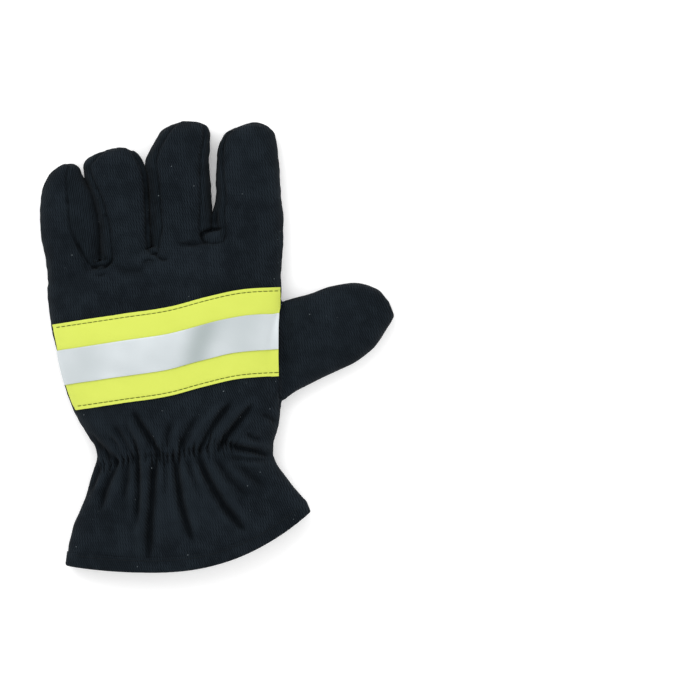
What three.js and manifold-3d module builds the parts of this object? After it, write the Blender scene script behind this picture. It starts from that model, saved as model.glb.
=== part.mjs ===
// Left-hand firefighter glove, lying palm down. Millimetres, +Z up.
// The fingers point along +Y and the thumb towards +X. The origin lies on the palm patch's resting face.
import * as THREE from 'three';
import { mergeVertices } from 'three/addons/utils/BufferGeometryUtils.js';
import Module from 'manifold-3d';

const wasm = await Module();
wasm.setup();

// Hand
const palmLength = 118;          // wrist line to knuckle line, through the origin
const palmWidth = 132;
const wristSetback = 68;         // the wrist line lies this far behind the origin
const wristWidth = 99;
const wristShift = 11.5;         // the wrist's middle, towards the thumb
const handHeight = 31;
const knuckleRise = 33.4;        // how much further forward the knuckle line is on the index side
const sideSeamHeight = 10;       // level of the seam that joins back and palm
const rootSink = 12;             // how far a finger's root starts behind the knuckle line

// Cuff
const cuffLength = 66;           // wrist line to the lowest point of the mouth
const mouthWidth = 138;
const mouthShift = 13;           // the mouth's middle, towards the thumb
const mouthHeight = 25;
const mouthRiseThumb = 33.4;     // how much shorter the cuff is on the thumb's side
const mouthRiseLittle = 3.5;     // how much shorter it is on the little finger's side
const mouthLowest = -0.3;        // where the mouth is furthest from the wrist, from -1 to 1 across
const mouthCurve = 2.3;          // how late the mouth rises towards the thumb
const hemHeight = 8.5;
const hemExtra = 0.6;            // the folded hem stands this much proud of the cuff, inside and out

// Cloth and trim
const clothWall = 2.5;           // shell and quilted lining together
const suede = 1.2;
const bandWidth = 50;
const bandThickness = 0.8;
const stripWidth = 20;
const stripThickness = 0.5;
const seamGap = 0.3;
const webDepth = 6;              // the fourchette reaches this far behind the crotch
const webWidth = 10;

// Roundness of the sections: 2 is an ellipse, and a higher number is squarer.
const backCurve = 2.5;
const bellyCurve = 7;
const bellyFlat = 5;
const digitCurve = 2.3;
const digitBellyCurve = 4;
const digitBellyFill = 1.7;      // a digit's underside is full until its back has fallen to 1 part in this
const tipStart = 0.9;            // share of a digit's length where its rounded tip begins

// Wrist gathers, from one place to the other across the hand
const gatherCount = 10;
const gatherDepth = 1.3;
const gatherReach = 12;
const gatherFrom = -0.82;
const gatherTo = 0.58;

// Patches on the palm side
const palmPatchLength = 62;
const palmPatchEdge = 13;        // the patch ends this far past the origin, towards the thumb
const heelPatchWidth = 78;
const heelPatchLength = 58;
const heelPatchSetback = 42;     // its straight top edge lies this far behind the origin
const indexBaseLength = 34;
const indexBaseWidth = 35;
const indexTipLength = 37;
const indexTipWidth = 30;
const heelRoundShare = 0.55;     // share of the heel patch's length that is rounded
const indexTipPlace = 0.65;      // its middle lies this share of its length behind the fingertip

// The highest that each patch reaches, as a share of the side seam's level
const palmPatchReach = 0.6;
const heelPatchReach = 0.4;
const indexBaseReach = 0.9;
const indexTipReach = 0.4;

// The digits. rootAcross is a share of the palm's width. Each row is a section: its place along the digit,
// its left and right edges as shares of the digit's width, and its fullness about the side seam.
const digits = {
  little: {
    rootAcross: -0.4015, length: 72.2, width: 34, height: 21, turn: 0, patched: false,
    rows: [
      [0, -0.31, 0.41, 0.85], [0.166, -0.41, 0.46, 0.97], [0.259, -0.447, 0.476, 1],
      [0.46, -0.518, 0.468, 1], [0.744, -0.518, 0.344, 0.97], [0.848, -0.453, 0.241, 0.88],
      [0.917, -0.353, 0.159, 0.74], [0.979, -0.203, 0.112, 0.5], [1, -0.13, 0.06, 0.25],
    ],
  },
  ring: {
    rootAcross: -0.1667, length: 73.6, width: 33, height: 22.5, turn: 0, patched: false,
    rows: [
      [0, -0.37, 0.38, 0.85], [0.148, -0.418, 0.424, 1], [0.4, -0.439, 0.4, 1],
      [0.63, -0.564, 0.382, 1], [0.807, -0.715, 0.345, 0.92], [0.9, -0.67, 0.255, 0.78],
      [0.947, -0.482, 0.188, 0.64], [0.993, -0.224, 0, 0.36], [1, -0.17, -0.04, 0.22],
    ],
  },
  middle: {
    rootAcross: 0.0758, length: 79.9, width: 36, height: 23.5, turn: 0, patched: false,
    rows: [
      [0, -0.44, 0.42, 0.85], [0.242, -0.489, 0.456, 1], [0.379, -0.506, 0.45, 1],
      [0.592, -0.528, 0.433, 1], [0.73, -0.561, 0.428, 0.95], [0.855, -0.419, 0.428, 0.86],
      [0.94, -0.294, 0.414, 0.68], [0.982, -0.136, 0.35, 0.46], [1, -0.04, 0.25, 0.25],
    ],
  },
  index: {
    rootAcross: 0.3561, length: 70, width: 37, height: 23.5, turn: 0, patched: true,
    rows: [
      [0, -0.44, 0.46, 0.85], [0.171, -0.53, 0.532, 1], [0.357, -0.54, 0.5, 1],
      [0.6, -0.535, 0.47, 0.96], [0.714, -0.5, 0.449, 0.92], [0.843, -0.446, 0.424, 0.84],
      [0.94, -0.292, 0.365, 0.66], [0.989, -0.065, 0.227, 0.42], [1, 0, 0.162, 0.25],
    ],
  },
  thumb: {
    length: 118, width: 48, height: 22, turn: -71, patched: false,
    rows: [
      [0, -0.44, 0.5, 0.75], [0.153, -0.51, 0.58, 0.9], [0.356, -0.53, 0.55, 1],
      [0.517, -0.53, 0.483, 1], [0.678, -0.52, 0.433, 1], [0.763, -0.52, 0.402, 0.97],
      [0.873, -0.456, 0.281, 0.86], [0.941, -0.344, 0.15, 0.66], [0.966, -0.277, 0.104, 0.52],
      [0.99, -0.13, 0.05, 0.3],
    ],
  },
};
const thumbRootAcross = 0.13;    // share of the palm's width
const thumbRootBack = 25.4;      // the thumb's root lies this far behind the origin

// The palm from the wrist line to the knuckle line: how far its left and right edges have opened from the
// wrist's width to the palm's, and its fullness above the side seam.
const palmRows = [
  { along: 0, left: 0, right: 0, full: 0.81 },
  { along: 0.06, left: 0.07, right: -0.08, full: 0.84 },
  { along: 0.12, left: 0.21, right: 0.52, full: 0.905 },
  { along: 0.19, left: 0.367, right: 0.8, full: 0.95 },
  { along: 0.32, left: 0.573, right: 0.84, full: 1 },
  { along: 0.46, left: 0.73, right: 0.9, full: 1 },
  { along: 0.62, left: 0.854, right: 0.9, full: 0.976 },
  { along: 0.8, left: 0.975, right: 0.9, full: 0.857 },
  { along: 0.93, left: 1, right: 1.08, full: 0.7 },
  { along: 1, left: 0.91, right: 0.5, full: 0.476 },
];

// The cuff from the wrist line to its mouth: the same, from the wrist's width to the mouth's. lift is how far
// its underside stays up, as a share of a patch's stand-off.
const cuffRows = [
  { along: 0, left: 0, right: 0, full: 0, lift: 1 },
  { along: 0.2, left: 0.217, right: 0.153, full: 0.1, lift: 1 },
  { along: 0.4, left: 0.417, right: 0.383, full: 0.3, lift: 1 },
  { along: 0.6, left: 0.694, right: 0.622, full: 0.55, lift: 1 },
  { along: 0.8, left: 0.911, right: 0.876, full: 0.8, lift: 0.4 },
  { along: 1, left: 1, right: 1, full: 1, lift: 0.4 },
  { along: 1.2, left: 1.1, right: 1.1, full: 1, lift: 0.4 },
];

// Long soft folds on the back and the cuff, each from one point to another. across runs from -1 at the little
// finger's edge to 1 at the thumb's, along from -1 at the cuff's mouth through 0 at the wrist to 1 at the
// knuckles. width and height are shares of the hand's height.
const folds = [
  { across: -0.52, along: -0.06, toAcross: -0.46, toAlong: -0.51, width: 0.16, height: 0.05 },
  { across: -0.37, along: -0.08, toAcross: -0.32, toAlong: -0.77, width: 0.2, height: 0.07 },
  { across: -0.11, along: -0.11, toAcross: -0.02, toAlong: -0.56, width: 0.18, height: 0.05 },
  { across: 0.16, along: -0.06, toAcross: 0.48, toAlong: -0.64, width: 0.22, height: 0.06 },
  { across: -0.85, along: 0.16, toAcross: -0.71, toAlong: 0.05, width: 0.17, height: -0.05 },
  { across: -0.44, along: 0.21, toAcross: -0.31, toAlong: 0.04, width: 0.18, height: -0.06 },
  { across: 0.48, along: 0.21, toAcross: 0.32, toAlong: 0.07, width: 0.17, height: -0.05 },
  { across: 0.7, along: 0.2, toAcross: 0.54, toAlong: 0.07, width: 0.17, height: -0.05 },
];

// The band's middle line: across as a share of half the palm's width, along from 0 at the wrist to 1 at the
// knuckles.
const bandLine = [
  [-1.1, 0.424], [-0.76, 0.441], [-0.5, 0.47], [-0.15, 0.492], [0.08, 0.508],
  [0.34, 0.551], [0.5, 0.576], [0.75, 0.589], [1.1, 0.597],
];

// Which part of each finger's back the fourchette takes: the seam's place between the finger's middle (0) and
// its edge (1 or -1). The seam starts above the crotch and runs past the tip.
const crotchPlace = 0.25;
const seamStops = [0.38, 0.5, 0.63, 0.75, 0.86, 0.94, 1.1];
const fourchettes = [
  { name: 'fourchette_little_ring', left: 'little', right: 'ring', leftSeam: 0, rightSeam: -0.75 },
  { name: 'fourchette_ring_middle', left: 'ring', right: 'middle', leftSeam: 0.88, rightSeam: -0.64 },
  { name: 'fourchette_middle_index', left: 'middle', right: 'index', leftSeam: 0.45, rightSeam: -0.78 },
];

const standOff = suede + seamGap;
const wristY = -wristSetback;
const tall = 4 * handHeight;
const lerp = THREE.MathUtils.lerp;

// A row's columns at a place between two rows.
function readRows(rows, along) {
  let i = 1;
  while (i < rows.length - 1 && rows[i].along < along) i += 1;
  const share = (along - rows[i - 1].along) / (rows[i].along - rows[i - 1].along);
  const at = {};
  for (const key of Object.keys(rows[i])) {
    at[key] = lerp(rows[i - 1][key], rows[i][key], share);
  }
  return at;
}

// The knuckle line and the cuff's mouth, at a place across the hand from -1 to 1.
function knuckleY(across) {
  return palmLength + wristY + across * knuckleRise / 2;
}

function mouthY(across) {
  const rise = across < mouthLowest
    ? mouthRiseLittle * ((mouthLowest - across) / (1 + mouthLowest)) ** 2
    : mouthRiseThumb * ((across - mouthLowest) / (1 - mouthLowest)) ** mouthCurve;
  return wristY - cuffLength + rise;
}

// Rises to height along a fold's line and falls to nothing at its width.
function foldRelief(across, along, halfWidth) {
  let relief = 0;
  for (const fold of folds) {
    const length = fold.along < 0 ? cuffLength : palmLength;
    const start = new THREE.Vector2(fold.across * halfWidth, fold.along * length);
    const end = new THREE.Vector2(fold.toAcross * halfWidth, fold.toAlong * length);
    const point = new THREE.Vector2(across * halfWidth, along * length);
    const run = end.clone().sub(start);
    const reach = THREE.MathUtils.clamp(point.clone().sub(start).dot(run) / run.lengthSq(), 0, 1);
    const away = point.distanceTo(start.add(run.multiplyScalar(reach))) / (fold.width * handHeight);
    relief += fold.height * handHeight * Math.exp(-away * away);
  }
  return relief;
}

// Small pleats on both sides of the wrist line.
function gatherRelief(across, y) {
  if (across < gatherFrom || across > gatherTo) return 0;
  const turns = gatherCount * (across - gatherFrom) / (gatherTo - gatherFrom);
  const fade = Math.exp(-(((y - wristY) / gatherReach) ** 2));
  return gatherDepth * fade * Math.cos(2 * Math.PI * turns);
}

// A point on the hand or the cuff: across from -1 to 1, over the back or under the palm, grown outwards.
// The inner face, which is shrunk, stays free of pleats.
function bodyPoint(across, y, over, grow) {
  const inPalm = y >= wristY;
  const reach = inPalm ? knuckleY(across) - wristY : wristY - mouthY(across);
  const along = Math.abs(y - wristY) / reach;
  const at = readRows(inPalm ? palmRows : cuffRows, along);
  const openWidth = inPalm ? palmWidth : mouthWidth;
  const openShift = inPalm ? 0 : mouthShift;
  const left = lerp(wristShift - wristWidth / 2, openShift - openWidth / 2, at.left) - grow;
  const right = lerp(wristShift + wristWidth / 2, openShift + openWidth / 2, at.right) + grow;
  const wristCrown = palmRows[0].full * (handHeight - sideSeamHeight);
  const crown = inPalm
    ? at.full * (handHeight - sideSeamHeight)
    : lerp(wristCrown, mouthHeight - sideSeamHeight, at.full);
  const base = inPalm ? standOff : standOff * at.lift;
  const halfWidth = (right - left) / 2;
  const pleats = grow < 0 ? 0 : gatherRelief(across, y);
  const relief = pleats + foldRelief(across, inPalm ? along : -along, halfWidth);
  const edge = Math.abs(across);
  const dome = (1 - edge ** backCurve) ** (1 / backCurve);
  const belly = (1 - edge ** bellyCurve) ** (1 / bellyFlat);
  const z = over
    ? sideSeamHeight + (crown + grow) * dome + relief * Math.min(1, 3 * (1 - edge))
    : sideSeamHeight - (sideSeamHeight - base + grow) * belly;
  return new THREE.Vector3((left + right) / 2 + halfWidth * across, y, z);
}

// Places round a ring, from one edge over the top to the other and back underneath.
function roundShares(overShares, underSteps) {
  const over = overShares.map((across) => ({ across, over: true }));
  const under = [];
  for (let i = 1; i < underSteps; i += 1) {
    under.push({ across: Math.cos(Math.PI * i / underSteps), over: false });
  }
  return over.concat(under);
}

function evenShares(steps) {
  return Array.from({ length: steps + 1 }, (_, i) => -Math.cos(Math.PI * i / steps));
}

// Across the back there are two places for each gather, and closer ones near both edges.
function backShares() {
  const edgeSteps = 5;
  const shares = [];
  for (let i = 0; i < edgeSteps; i += 1) {
    shares.push(-1 + (1 + gatherFrom) * (i / edgeSteps) ** 2);
  }
  const steps = 2 * gatherCount;
  for (let i = 0; i < steps; i += 1) {
    shares.push(lerp(gatherFrom, gatherTo, i / steps));
  }
  for (let i = edgeSteps + 1; i >= 0; i -= 1) {
    shares.push(1 - (1 - gatherTo) * (i / (edgeSteps + 1)) ** 2);
  }
  return shares;
}

// A closed skin over a row of rings, each with the same number of points.
function skin(rings) {
  const count = rings[0].length;
  const positions = rings.flat().flatMap((point) => point.toArray());
  const index = [];
  for (let ring = 0; ring + 1 < rings.length; ring += 1) {
    for (let i = 0; i < count; i += 1) {
      const next = (i + 1) % count;
      const a = ring * count + i;
      const b = ring * count + next;
      index.push(a, b, b + count, a, b + count, a + count);
    }
  }
  for (const [ring, firstRing] of [[rings[0], true], [rings[rings.length - 1], false]]) {
    const middle = ring.reduce((sum, point) => sum.add(point), new THREE.Vector3()).divideScalar(count);
    const centre = positions.length / 3;
    positions.push(...middle.toArray());
    const offset = firstRing ? 0 : (rings.length - 1) * count;
    for (let i = 0; i < count; i += 1) {
      const here = offset + i;
      const next = offset + (i + 1) % count;
      index.push(centre, firstRing ? next : here, firstRing ? here : next);
    }
  }
  const geometry = new THREE.BufferGeometry();
  geometry.setAttribute('position', new THREE.Float32BufferAttribute(positions, 3));
  geometry.setIndex(index);
  return geometry;
}

// Solids that can be joined and cut
function solid(geometry) {
  const bare = geometry.clone();
  bare.deleteAttribute('normal');
  bare.deleteAttribute('uv');
  const merged = mergeVertices(bare, 1e-4);
  return new wasm.Manifold(new wasm.Mesh({
    numProp: 3,
    vertProperties: new Float32Array(merged.attributes.position.array),
    triVerts: new Uint32Array(merged.index.array),
  }));
}

function box(from, to) {
  const size = new THREE.Vector3().subVectors(to, from);
  const geometry = new THREE.BoxGeometry(size.x, size.y, size.z);
  geometry.translate(from.x + size.x / 2, from.y + size.y / 2, from.z + size.z / 2);
  return solid(geometry);
}

// An upright prism over a plan outline.
function prism(outline, bottom, top) {
  const shape = new THREE.Shape(outline);
  const geometry = new THREE.ExtrudeGeometry(shape, { depth: top - bottom, bevelEnabled: false });
  geometry.translate(0, 0, bottom);
  return solid(geometry);
}

// The hand and cuff as one filled form, between two lines given as functions of the place across.
function bodySolid(fromY, toY, grow) {
  const shares = grow < 0 ? roundShares(evenShares(12), 6) : roundShares(backShares(), 8);
  const cuffStops = [1, 0.75, 0.5, 0.3, 0.14];
  const palmStops = [0, 0.07, 0.14, 0.22, 0.34, 0.5, 0.66, 0.8, 0.92, 1];
  const rings = [];
  for (const stop of cuffStops) {
    rings.push(shares.map((s) => bodyPoint(s.across, lerp(wristY, fromY(s.across), stop), s.over, grow)));
  }
  for (const stop of palmStops) {
    rings.push(shares.map((s) => bodyPoint(s.across, lerp(wristY, toY(s.across), stop), s.over, grow)));
  }
  return solid(skin(rings));
}

// Where a digit's root is, and the way it points.
function digitFrame(name) {
  const digit = digits[name];
  if (name === 'thumb') {
    return new THREE.Matrix4().makeRotationZ(THREE.MathUtils.degToRad(digit.turn))
      .setPosition(thumbRootAcross * palmWidth, -thumbRootBack, 0);
  }
  const across = digit.rootAcross;
  return new THREE.Matrix4().setPosition(across * palmWidth, knuckleY(2 * across) - rootSink, 0);
}

// A digit's edges and fullness at a place along it.
function digitSection(name, along) {
  const digit = digits[name];
  const rows = digit.rows.map(([place, left, right, full]) => ({ along: place, left, right, full }));
  const at = readRows(rows, along);
  return { left: at.left * digit.width, right: at.right * digit.width, full: at.full };
}

// How far a digit's underside stays up, as a share of a patch's stand-off: the unpatched ones sink to rest.
function digitLift(name, place) {
  if (name === 'thumb') return 0;
  return digits[name].patched ? 1 : 1 - THREE.MathUtils.smoothstep(place, 0.25, 0.5);
}

function digitSolid(name, grow) {
  const digit = digits[name];
  const shares = roundShares(evenShares(grow < 0 ? 8 : 10), 6);
  const frame = digitFrame(name);
  const rings = digit.rows.map(([place]) => {
    const at = digitSection(name, place);
    const left = at.left - grow;
    const right = at.right + grow;
    const end = place > tipStart ? grow * (place - tipStart) / (1 - tipStart) : 0;
    const base = standOff * digitLift(name, place);
    const crown = (digit.height - sideSeamHeight) * at.full + grow;
    const depth = (sideSeamHeight - base) * Math.min(1, digitBellyFill * at.full) + grow;
    return shares.map(({ across, over }) => {
      const edge = Math.abs(across);
      const x = (left + right) / 2 + (right - left) / 2 * across;
      const z = over
        ? sideSeamHeight + crown * (1 - edge ** digitCurve) ** (1 / digitCurve)
        : sideSeamHeight - depth * (1 - edge ** digitBellyCurve) ** (1 / digitBellyCurve);
      return new THREE.Vector3(x, place * digit.length + end, z).applyMatrix4(frame);
    });
  });
  return solid(skin(rings));
}

// Every solid form that the panels are cut from
const knuckleEnd = (inset) => (across) => knuckleY(across) - inset;
const cuffEnd = (across) => mouthY(across) + hemHeight / 2;
const pastMouth = (across) => mouthY(across) - 2 * clothWall;
const fingerNames = ['little', 'ring', 'middle', 'index'];

const bodyOuter = bodySolid(cuffEnd, knuckleEnd(0), 0);
const bodyInner = bodySolid(pastMouth, knuckleEnd(clothWall), -clothWall);
const thumbOuter = digitSolid('thumb', 0);
const thumbInner = digitSolid('thumb', -clothWall);
const thumbClear = digitSolid('thumb', seamGap);

let handOuter = bodyOuter;
let hollow = bodyInner.add(thumbInner);
for (const name of fingerNames) {
  handOuter = handOuter.add(digitSolid(name, 0));
  hollow = hollow.add(digitSolid(name, -clothWall));
}
const shell = handOuter.subtract(hollow);

// Half spaces, each held back by half the seam's gap
const far = 3 * (palmLength + palmWidth);
const corner = (x, y, z) => new THREE.Vector3(x, y, z);
const aboveSeam = box(corner(-far, -far, sideSeamHeight + seamGap / 2), corner(far, far, tall));
const belowSeam = box(corner(-far, -far, -tall), corner(far, far, sideSeamHeight - seamGap / 2));
const aheadOfWrist = box(corner(-far, wristY + seamGap / 2, -tall), corner(far, far, tall));
const behindWrist = box(corner(-far, -far, -tall), corner(far, wristY - seamGap / 2, tall));

// The crotch between two fingers, on the knuckle line.
function crotchOf(fourchette) {
  const leftEdge = new THREE.Vector3(digitSection(fourchette.left, crotchPlace).right, 0, 0);
  const rightEdge = new THREE.Vector3(digitSection(fourchette.right, crotchPlace).left, 0, 0);
  leftEdge.applyMatrix4(digitFrame(fourchette.left));
  rightEdge.applyMatrix4(digitFrame(fourchette.right));
  const x = (leftEdge.x + rightEdge.x) / 2;
  return new THREE.Vector2(x, knuckleY(2 * x / palmWidth));
}

// One finger's seam in plan, from above the crotch to past the tip, moved sideways by shift.
function seamLine(name, seam, shift) {
  return seamStops.map((place) => {
    const at = digitSection(name, Math.min(place, 1));
    const x = lerp(at.left, at.right, (seam + 1) / 2) + shift;
    const point = new THREE.Vector3(x, place * digits[name].length, 0).applyMatrix4(digitFrame(name));
    return new THREE.Vector2(point.x, point.y);
  });
}

// The plan of a fourchette: up one finger's seam, over both tips, down the other's and round the web.
function fourchetteSolid(fourchette, grow) {
  const crotch = crotchOf(fourchette);
  const outline = [
    ...seamLine(fourchette.left, fourchette.leftSeam, -grow),
    ...seamLine(fourchette.right, fourchette.rightSeam, grow).reverse(),
    new THREE.Vector2(crotch.x + webWidth / 2 + grow, crotch.y - webDepth - grow),
    new THREE.Vector2(crotch.x - webWidth / 2 - grow, crotch.y - webDepth - grow),
  ];
  return prism(outline, sideSeamHeight, tall);
}

// A skin of one thickness over a form, inside an upright outline.
function layer(form, inner, outer, outline, bottom, top) {
  return form(outer).subtract(form(inner)).intersect(prism(outline, bottom, top));
}

// The biggest of a form's bodies, where a cut has parted it.
function largest(form) {
  return form.decompose().reduce((best, body) => (body.volume() > best.volume() ? body : best));
}

function rectangle(left, right, back, front) {
  const corners = [[left, back], [right, back], [right, front], [left, front]];
  return corners.map(([x, y]) => new THREE.Vector2(x, y));
}

// Panels of the hand
const back = shell.intersect(aboveSeam).intersect(aheadOfWrist);
const strips = fourchettes.map((fourchette) => back.intersect(fourchetteSolid(fourchette, 0)));
let backPanel = back;
for (const fourchette of fourchettes) {
  backPanel = backPanel.subtract(fourchetteSolid(fourchette, seamGap));
}
const palmPanel = shell.intersect(belowSeam).intersect(aheadOfWrist).subtract(thumbClear);

// The thumb is set into the palm below the side seam, and stays outside the hand above it.
const handClear = bodySolid(cuffEnd, knuckleEnd(0), seamGap);
const aboveThumbSeam = box(corner(-far, -far, sideSeamHeight - seamGap / 2), corner(far, far, tall));
const thumb = thumbOuter.subtract(hollow).subtract(handClear.intersect(aboveThumbSeam));

// The cuff stops at the hem's front edge. The hem is a closed ring, grown by grow, longer by past at each end.
function hemForm(grow, past, shift) {
  const shares = roundShares(backShares(), 8);
  const rings = [0, 1].map((stop) => shares.map((s) => {
    const y = lerp(mouthY(s.across) - past, mouthY(s.across) + hemHeight + past + shift, stop);
    return bodyPoint(s.across, y, s.over, grow);
  }));
  return solid(skin(rings));
}
const hem = hemForm(hemExtra, 0, 0).subtract(hemForm(-clothWall - hemExtra, clothWall, 0));
const cuff = shell.intersect(behindWrist).subtract(hemForm(hemExtra, 0, seamGap));

// The band across the back and its silver strip
function bandOutline(width) {
  const middle = bandLine.map(([x, y]) => new THREE.Vector2(x * palmWidth / 2, wristY + y * palmLength));
  const front = middle.map((point) => new THREE.Vector2(point.x, point.y + width / 2));
  const rear = middle.map((point) => new THREE.Vector2(point.x, point.y - width / 2));
  return [...rear, ...front.reverse()];
}
const bodyForm = (grow) => bodySolid(cuffEnd, knuckleEnd(0), grow);
const bandTop = seamGap + bandThickness;
const trimBottom = sideSeamHeight + seamGap / 2;
const thumbFar = digitSolid('thumb', 2 * seamGap);
const band = layer(bodyForm, seamGap, bandTop, bandOutline(bandWidth), trimBottom, tall).subtract(thumbFar);
const strip = layer(bodyForm, bandTop + seamGap, bandTop + seamGap + stripThickness, bandOutline(stripWidth),
  trimBottom, tall).subtract(thumbFar);

// Suede patches under the hand
const patchTop = seamGap + suede;
const palmPatch = layer(bodyForm, seamGap, patchTop,
  rectangle(-palmWidth, palmPatchEdge, -palmPatchLength / 2, palmPatchLength / 2), -suede,
  palmPatchReach * sideSeamHeight)
  .subtract(thumbClear).subtract(digitSolid('little', seamGap)).subtract(digitSolid('ring', seamGap));

const heelShape = new THREE.Shape();
const heelFront = -heelPatchSetback;
const heelRound = heelRoundShare * heelPatchLength;
const heelMiddle = heelFront - heelPatchLength + heelRound;
heelShape.moveTo(-heelPatchWidth / 2, heelFront);
heelShape.lineTo(-heelPatchWidth / 2, heelMiddle);
heelShape.absellipse(0, heelMiddle, heelPatchWidth / 2, heelRound, Math.PI, 0, false);
heelShape.lineTo(heelPatchWidth / 2, heelFront);
const heelPatch = layer(bodyForm, seamGap, patchTop, heelShape.getPoints(16), -suede,
  heelPatchReach * sideSeamHeight).subtract(thumbClear);

const indexRootX = digits.index.rootAcross * palmWidth;
const indexForm = (grow) => bodyForm(grow).add(digitSolid('index', grow));
const indexBaseFront = knuckleY(2 * indexRootX / palmWidth - indexBaseWidth / palmWidth) - seamGap;
const indexBasePatch = largest(layer(indexForm, seamGap, patchTop,
  rectangle(indexRootX - indexBaseWidth / 2, palmWidth, indexBaseFront - indexBaseLength, indexBaseFront),
  -suede, indexBaseReach * sideSeamHeight).subtract(thumbFar));

const indexDigit = (grow) => digitSolid('index', grow);
const tipShape = new THREE.Shape();
const tipY = knuckleY(2 * digits.index.rootAcross) - rootSink + digits.index.length;
const tipMiddle = tipY - indexTipPlace * indexTipLength;
tipShape.absellipse(indexRootX, tipMiddle, indexTipWidth / 2, indexTipLength / 2, 0, 2 * Math.PI, false);
const indexTipPatch = layer(indexDigit, seamGap, patchTop, tipShape.getPoints(24).slice(0, -1), -suede,
  indexTipReach * sideSeamHeight);

// Colours and finish
const cloth = { color: 0x181e23, roughness: 0.9, metalness: 0 };
const stripCloth = { color: 0x151a1f, roughness: 0.92, metalness: 0 };
const suedeFinish = { color: 0x0e1113, roughness: 0.95, metalness: 0 };
const yellowTape = { color: 0xe0ed69, roughness: 0.7, metalness: 0 };
const silverFilm = { color: 0xd8dfe1, roughness: 0.45, metalness: 0.3 };

function part(name, form, finish) {
  const mesh = form.getMesh();
  const geometry = new THREE.BufferGeometry();
  geometry.setAttribute('position', new THREE.Float32BufferAttribute(mesh.vertProperties, 3));
  geometry.setIndex(Array.from(mesh.triVerts));
  geometry.computeVertexNormals();
  const piece = new THREE.Mesh(geometry, new THREE.MeshStandardMaterial(finish));
  piece.name = name;
  return piece;
}

const glove = new THREE.Group();
glove.add(part('back_panel', backPanel, cloth));
glove.add(part('palm_panel', palmPanel, cloth));
fourchettes.forEach((fourchette, i) => glove.add(part(fourchette.name, strips[i], stripCloth)));
glove.add(part('thumb', thumb, cloth));
glove.add(part('gauntlet_cuff', cuff, cloth));
glove.add(part('cuff_hem', hem, cloth));
glove.add(part('hi_vis_band', band, yellowTape));
glove.add(part('reflective_strip', strip, silverFilm));
glove.add(part('palm_patch', palmPatch, suedeFinish));
glove.add(part('heel_patch', heelPatch, suedeFinish));
glove.add(part('index_base_patch', indexBasePatch, suedeFinish));
glove.add(part('index_tip_patch', indexTipPatch, suedeFinish));

export default glove;
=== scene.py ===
"""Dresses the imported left-hand firefighter glove, which lies palm down on a pale floor.

Shape maths is in millimetres, in the model's own frame: +Z up, +Y along the fingers, +X towards the thumb.
Every mesh is made in metres.
"""

from __future__ import annotations

import logging
import math
from collections.abc import Callable, Iterator, Sequence
from contextlib import contextmanager
from dataclasses import dataclass, field
from enum import Enum

import bpy
import numpy as np
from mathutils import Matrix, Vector
from mathutils.bvhtree import BVHTree
from mathutils.kdtree import KDTree

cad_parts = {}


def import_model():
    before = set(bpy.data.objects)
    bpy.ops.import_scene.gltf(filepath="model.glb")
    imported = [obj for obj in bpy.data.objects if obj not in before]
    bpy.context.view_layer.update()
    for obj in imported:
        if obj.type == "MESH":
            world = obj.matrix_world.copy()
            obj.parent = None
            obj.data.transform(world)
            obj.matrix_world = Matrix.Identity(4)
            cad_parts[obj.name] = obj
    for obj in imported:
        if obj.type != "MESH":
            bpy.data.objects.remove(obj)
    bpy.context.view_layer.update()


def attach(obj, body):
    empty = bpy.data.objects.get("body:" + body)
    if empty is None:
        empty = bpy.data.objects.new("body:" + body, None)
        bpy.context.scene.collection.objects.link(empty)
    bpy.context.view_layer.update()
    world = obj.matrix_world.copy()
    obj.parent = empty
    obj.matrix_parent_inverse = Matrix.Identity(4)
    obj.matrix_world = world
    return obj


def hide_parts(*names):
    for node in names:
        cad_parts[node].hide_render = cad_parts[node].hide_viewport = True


LOG = logging.getLogger("glove")
MM = 0.001
TINY = 1e-9
WEFT = (0.957, 0.257, 0.129)
Array = np.ndarray
Field = Callable[[Array], Array]
Plan = tuple[tuple[float, float], ...]


class Panel(Enum):
    """The cloth panels that the glove's skin is cut into."""

    BACK = "back_panel"
    PALM = "palm_panel"
    LITTLE_RING = "fourchette_little_ring"
    RING_MIDDLE = "fourchette_ring_middle"
    MIDDLE_INDEX = "fourchette_middle_index"
    THUMB = "thumb"
    CUFF = "gauntlet_cuff"
    CUT_OFF = "cut_off"


class Side(Enum):
    """Which way a row of stitches faces."""

    ABOVE = 1
    BELOW = -1


def share(value: Array) -> Array:
    """A value held between 0 and 1."""
    return np.clip(value, 0, 1)


def ease(value: Array) -> Array:
    """A smooth rise from 0 to 1 of a value that is held between them."""
    held = share(value)
    return held * held * (3 - 2 * held)


def bell(distance: Array, width: float = 1.0) -> Array:
    """A bell curve, 1 high, of a distance."""
    return np.exp(-((distance / width) ** 2))


def keep_above(points: Array, lowest: float) -> Array:
    """The points, with none lower than a level."""
    points[:, 2] = np.maximum(points[:, 2], lowest)
    return points


def smooth_read(places: Array, values: Array, at: Array) -> Array:
    """Reads a table column on a smooth curve through its rows.

    Args:
        places: The rows' places, rising.
        values: The column's values at those places.
        at: Where to read it.

    Returns:
        The values there, held level past both ends.
    """
    at = np.clip(at, places[0], places[-1])
    i = np.clip(np.searchsorted(places, at) - 1, 0, len(places) - 2)
    slopes = np.gradient(values, places)
    span = places[i + 1] - places[i]
    t = (at - places[i]) / span
    start = (2 * t**3 - 3 * t**2 + 1) * values[i] + (t**3 - 2 * t**2 + t) * span * slopes[i]
    end = (3 * t**2 - 2 * t**3) * values[i + 1] + (t**3 - t**2) * span * slopes[i + 1]
    return start + end


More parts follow.
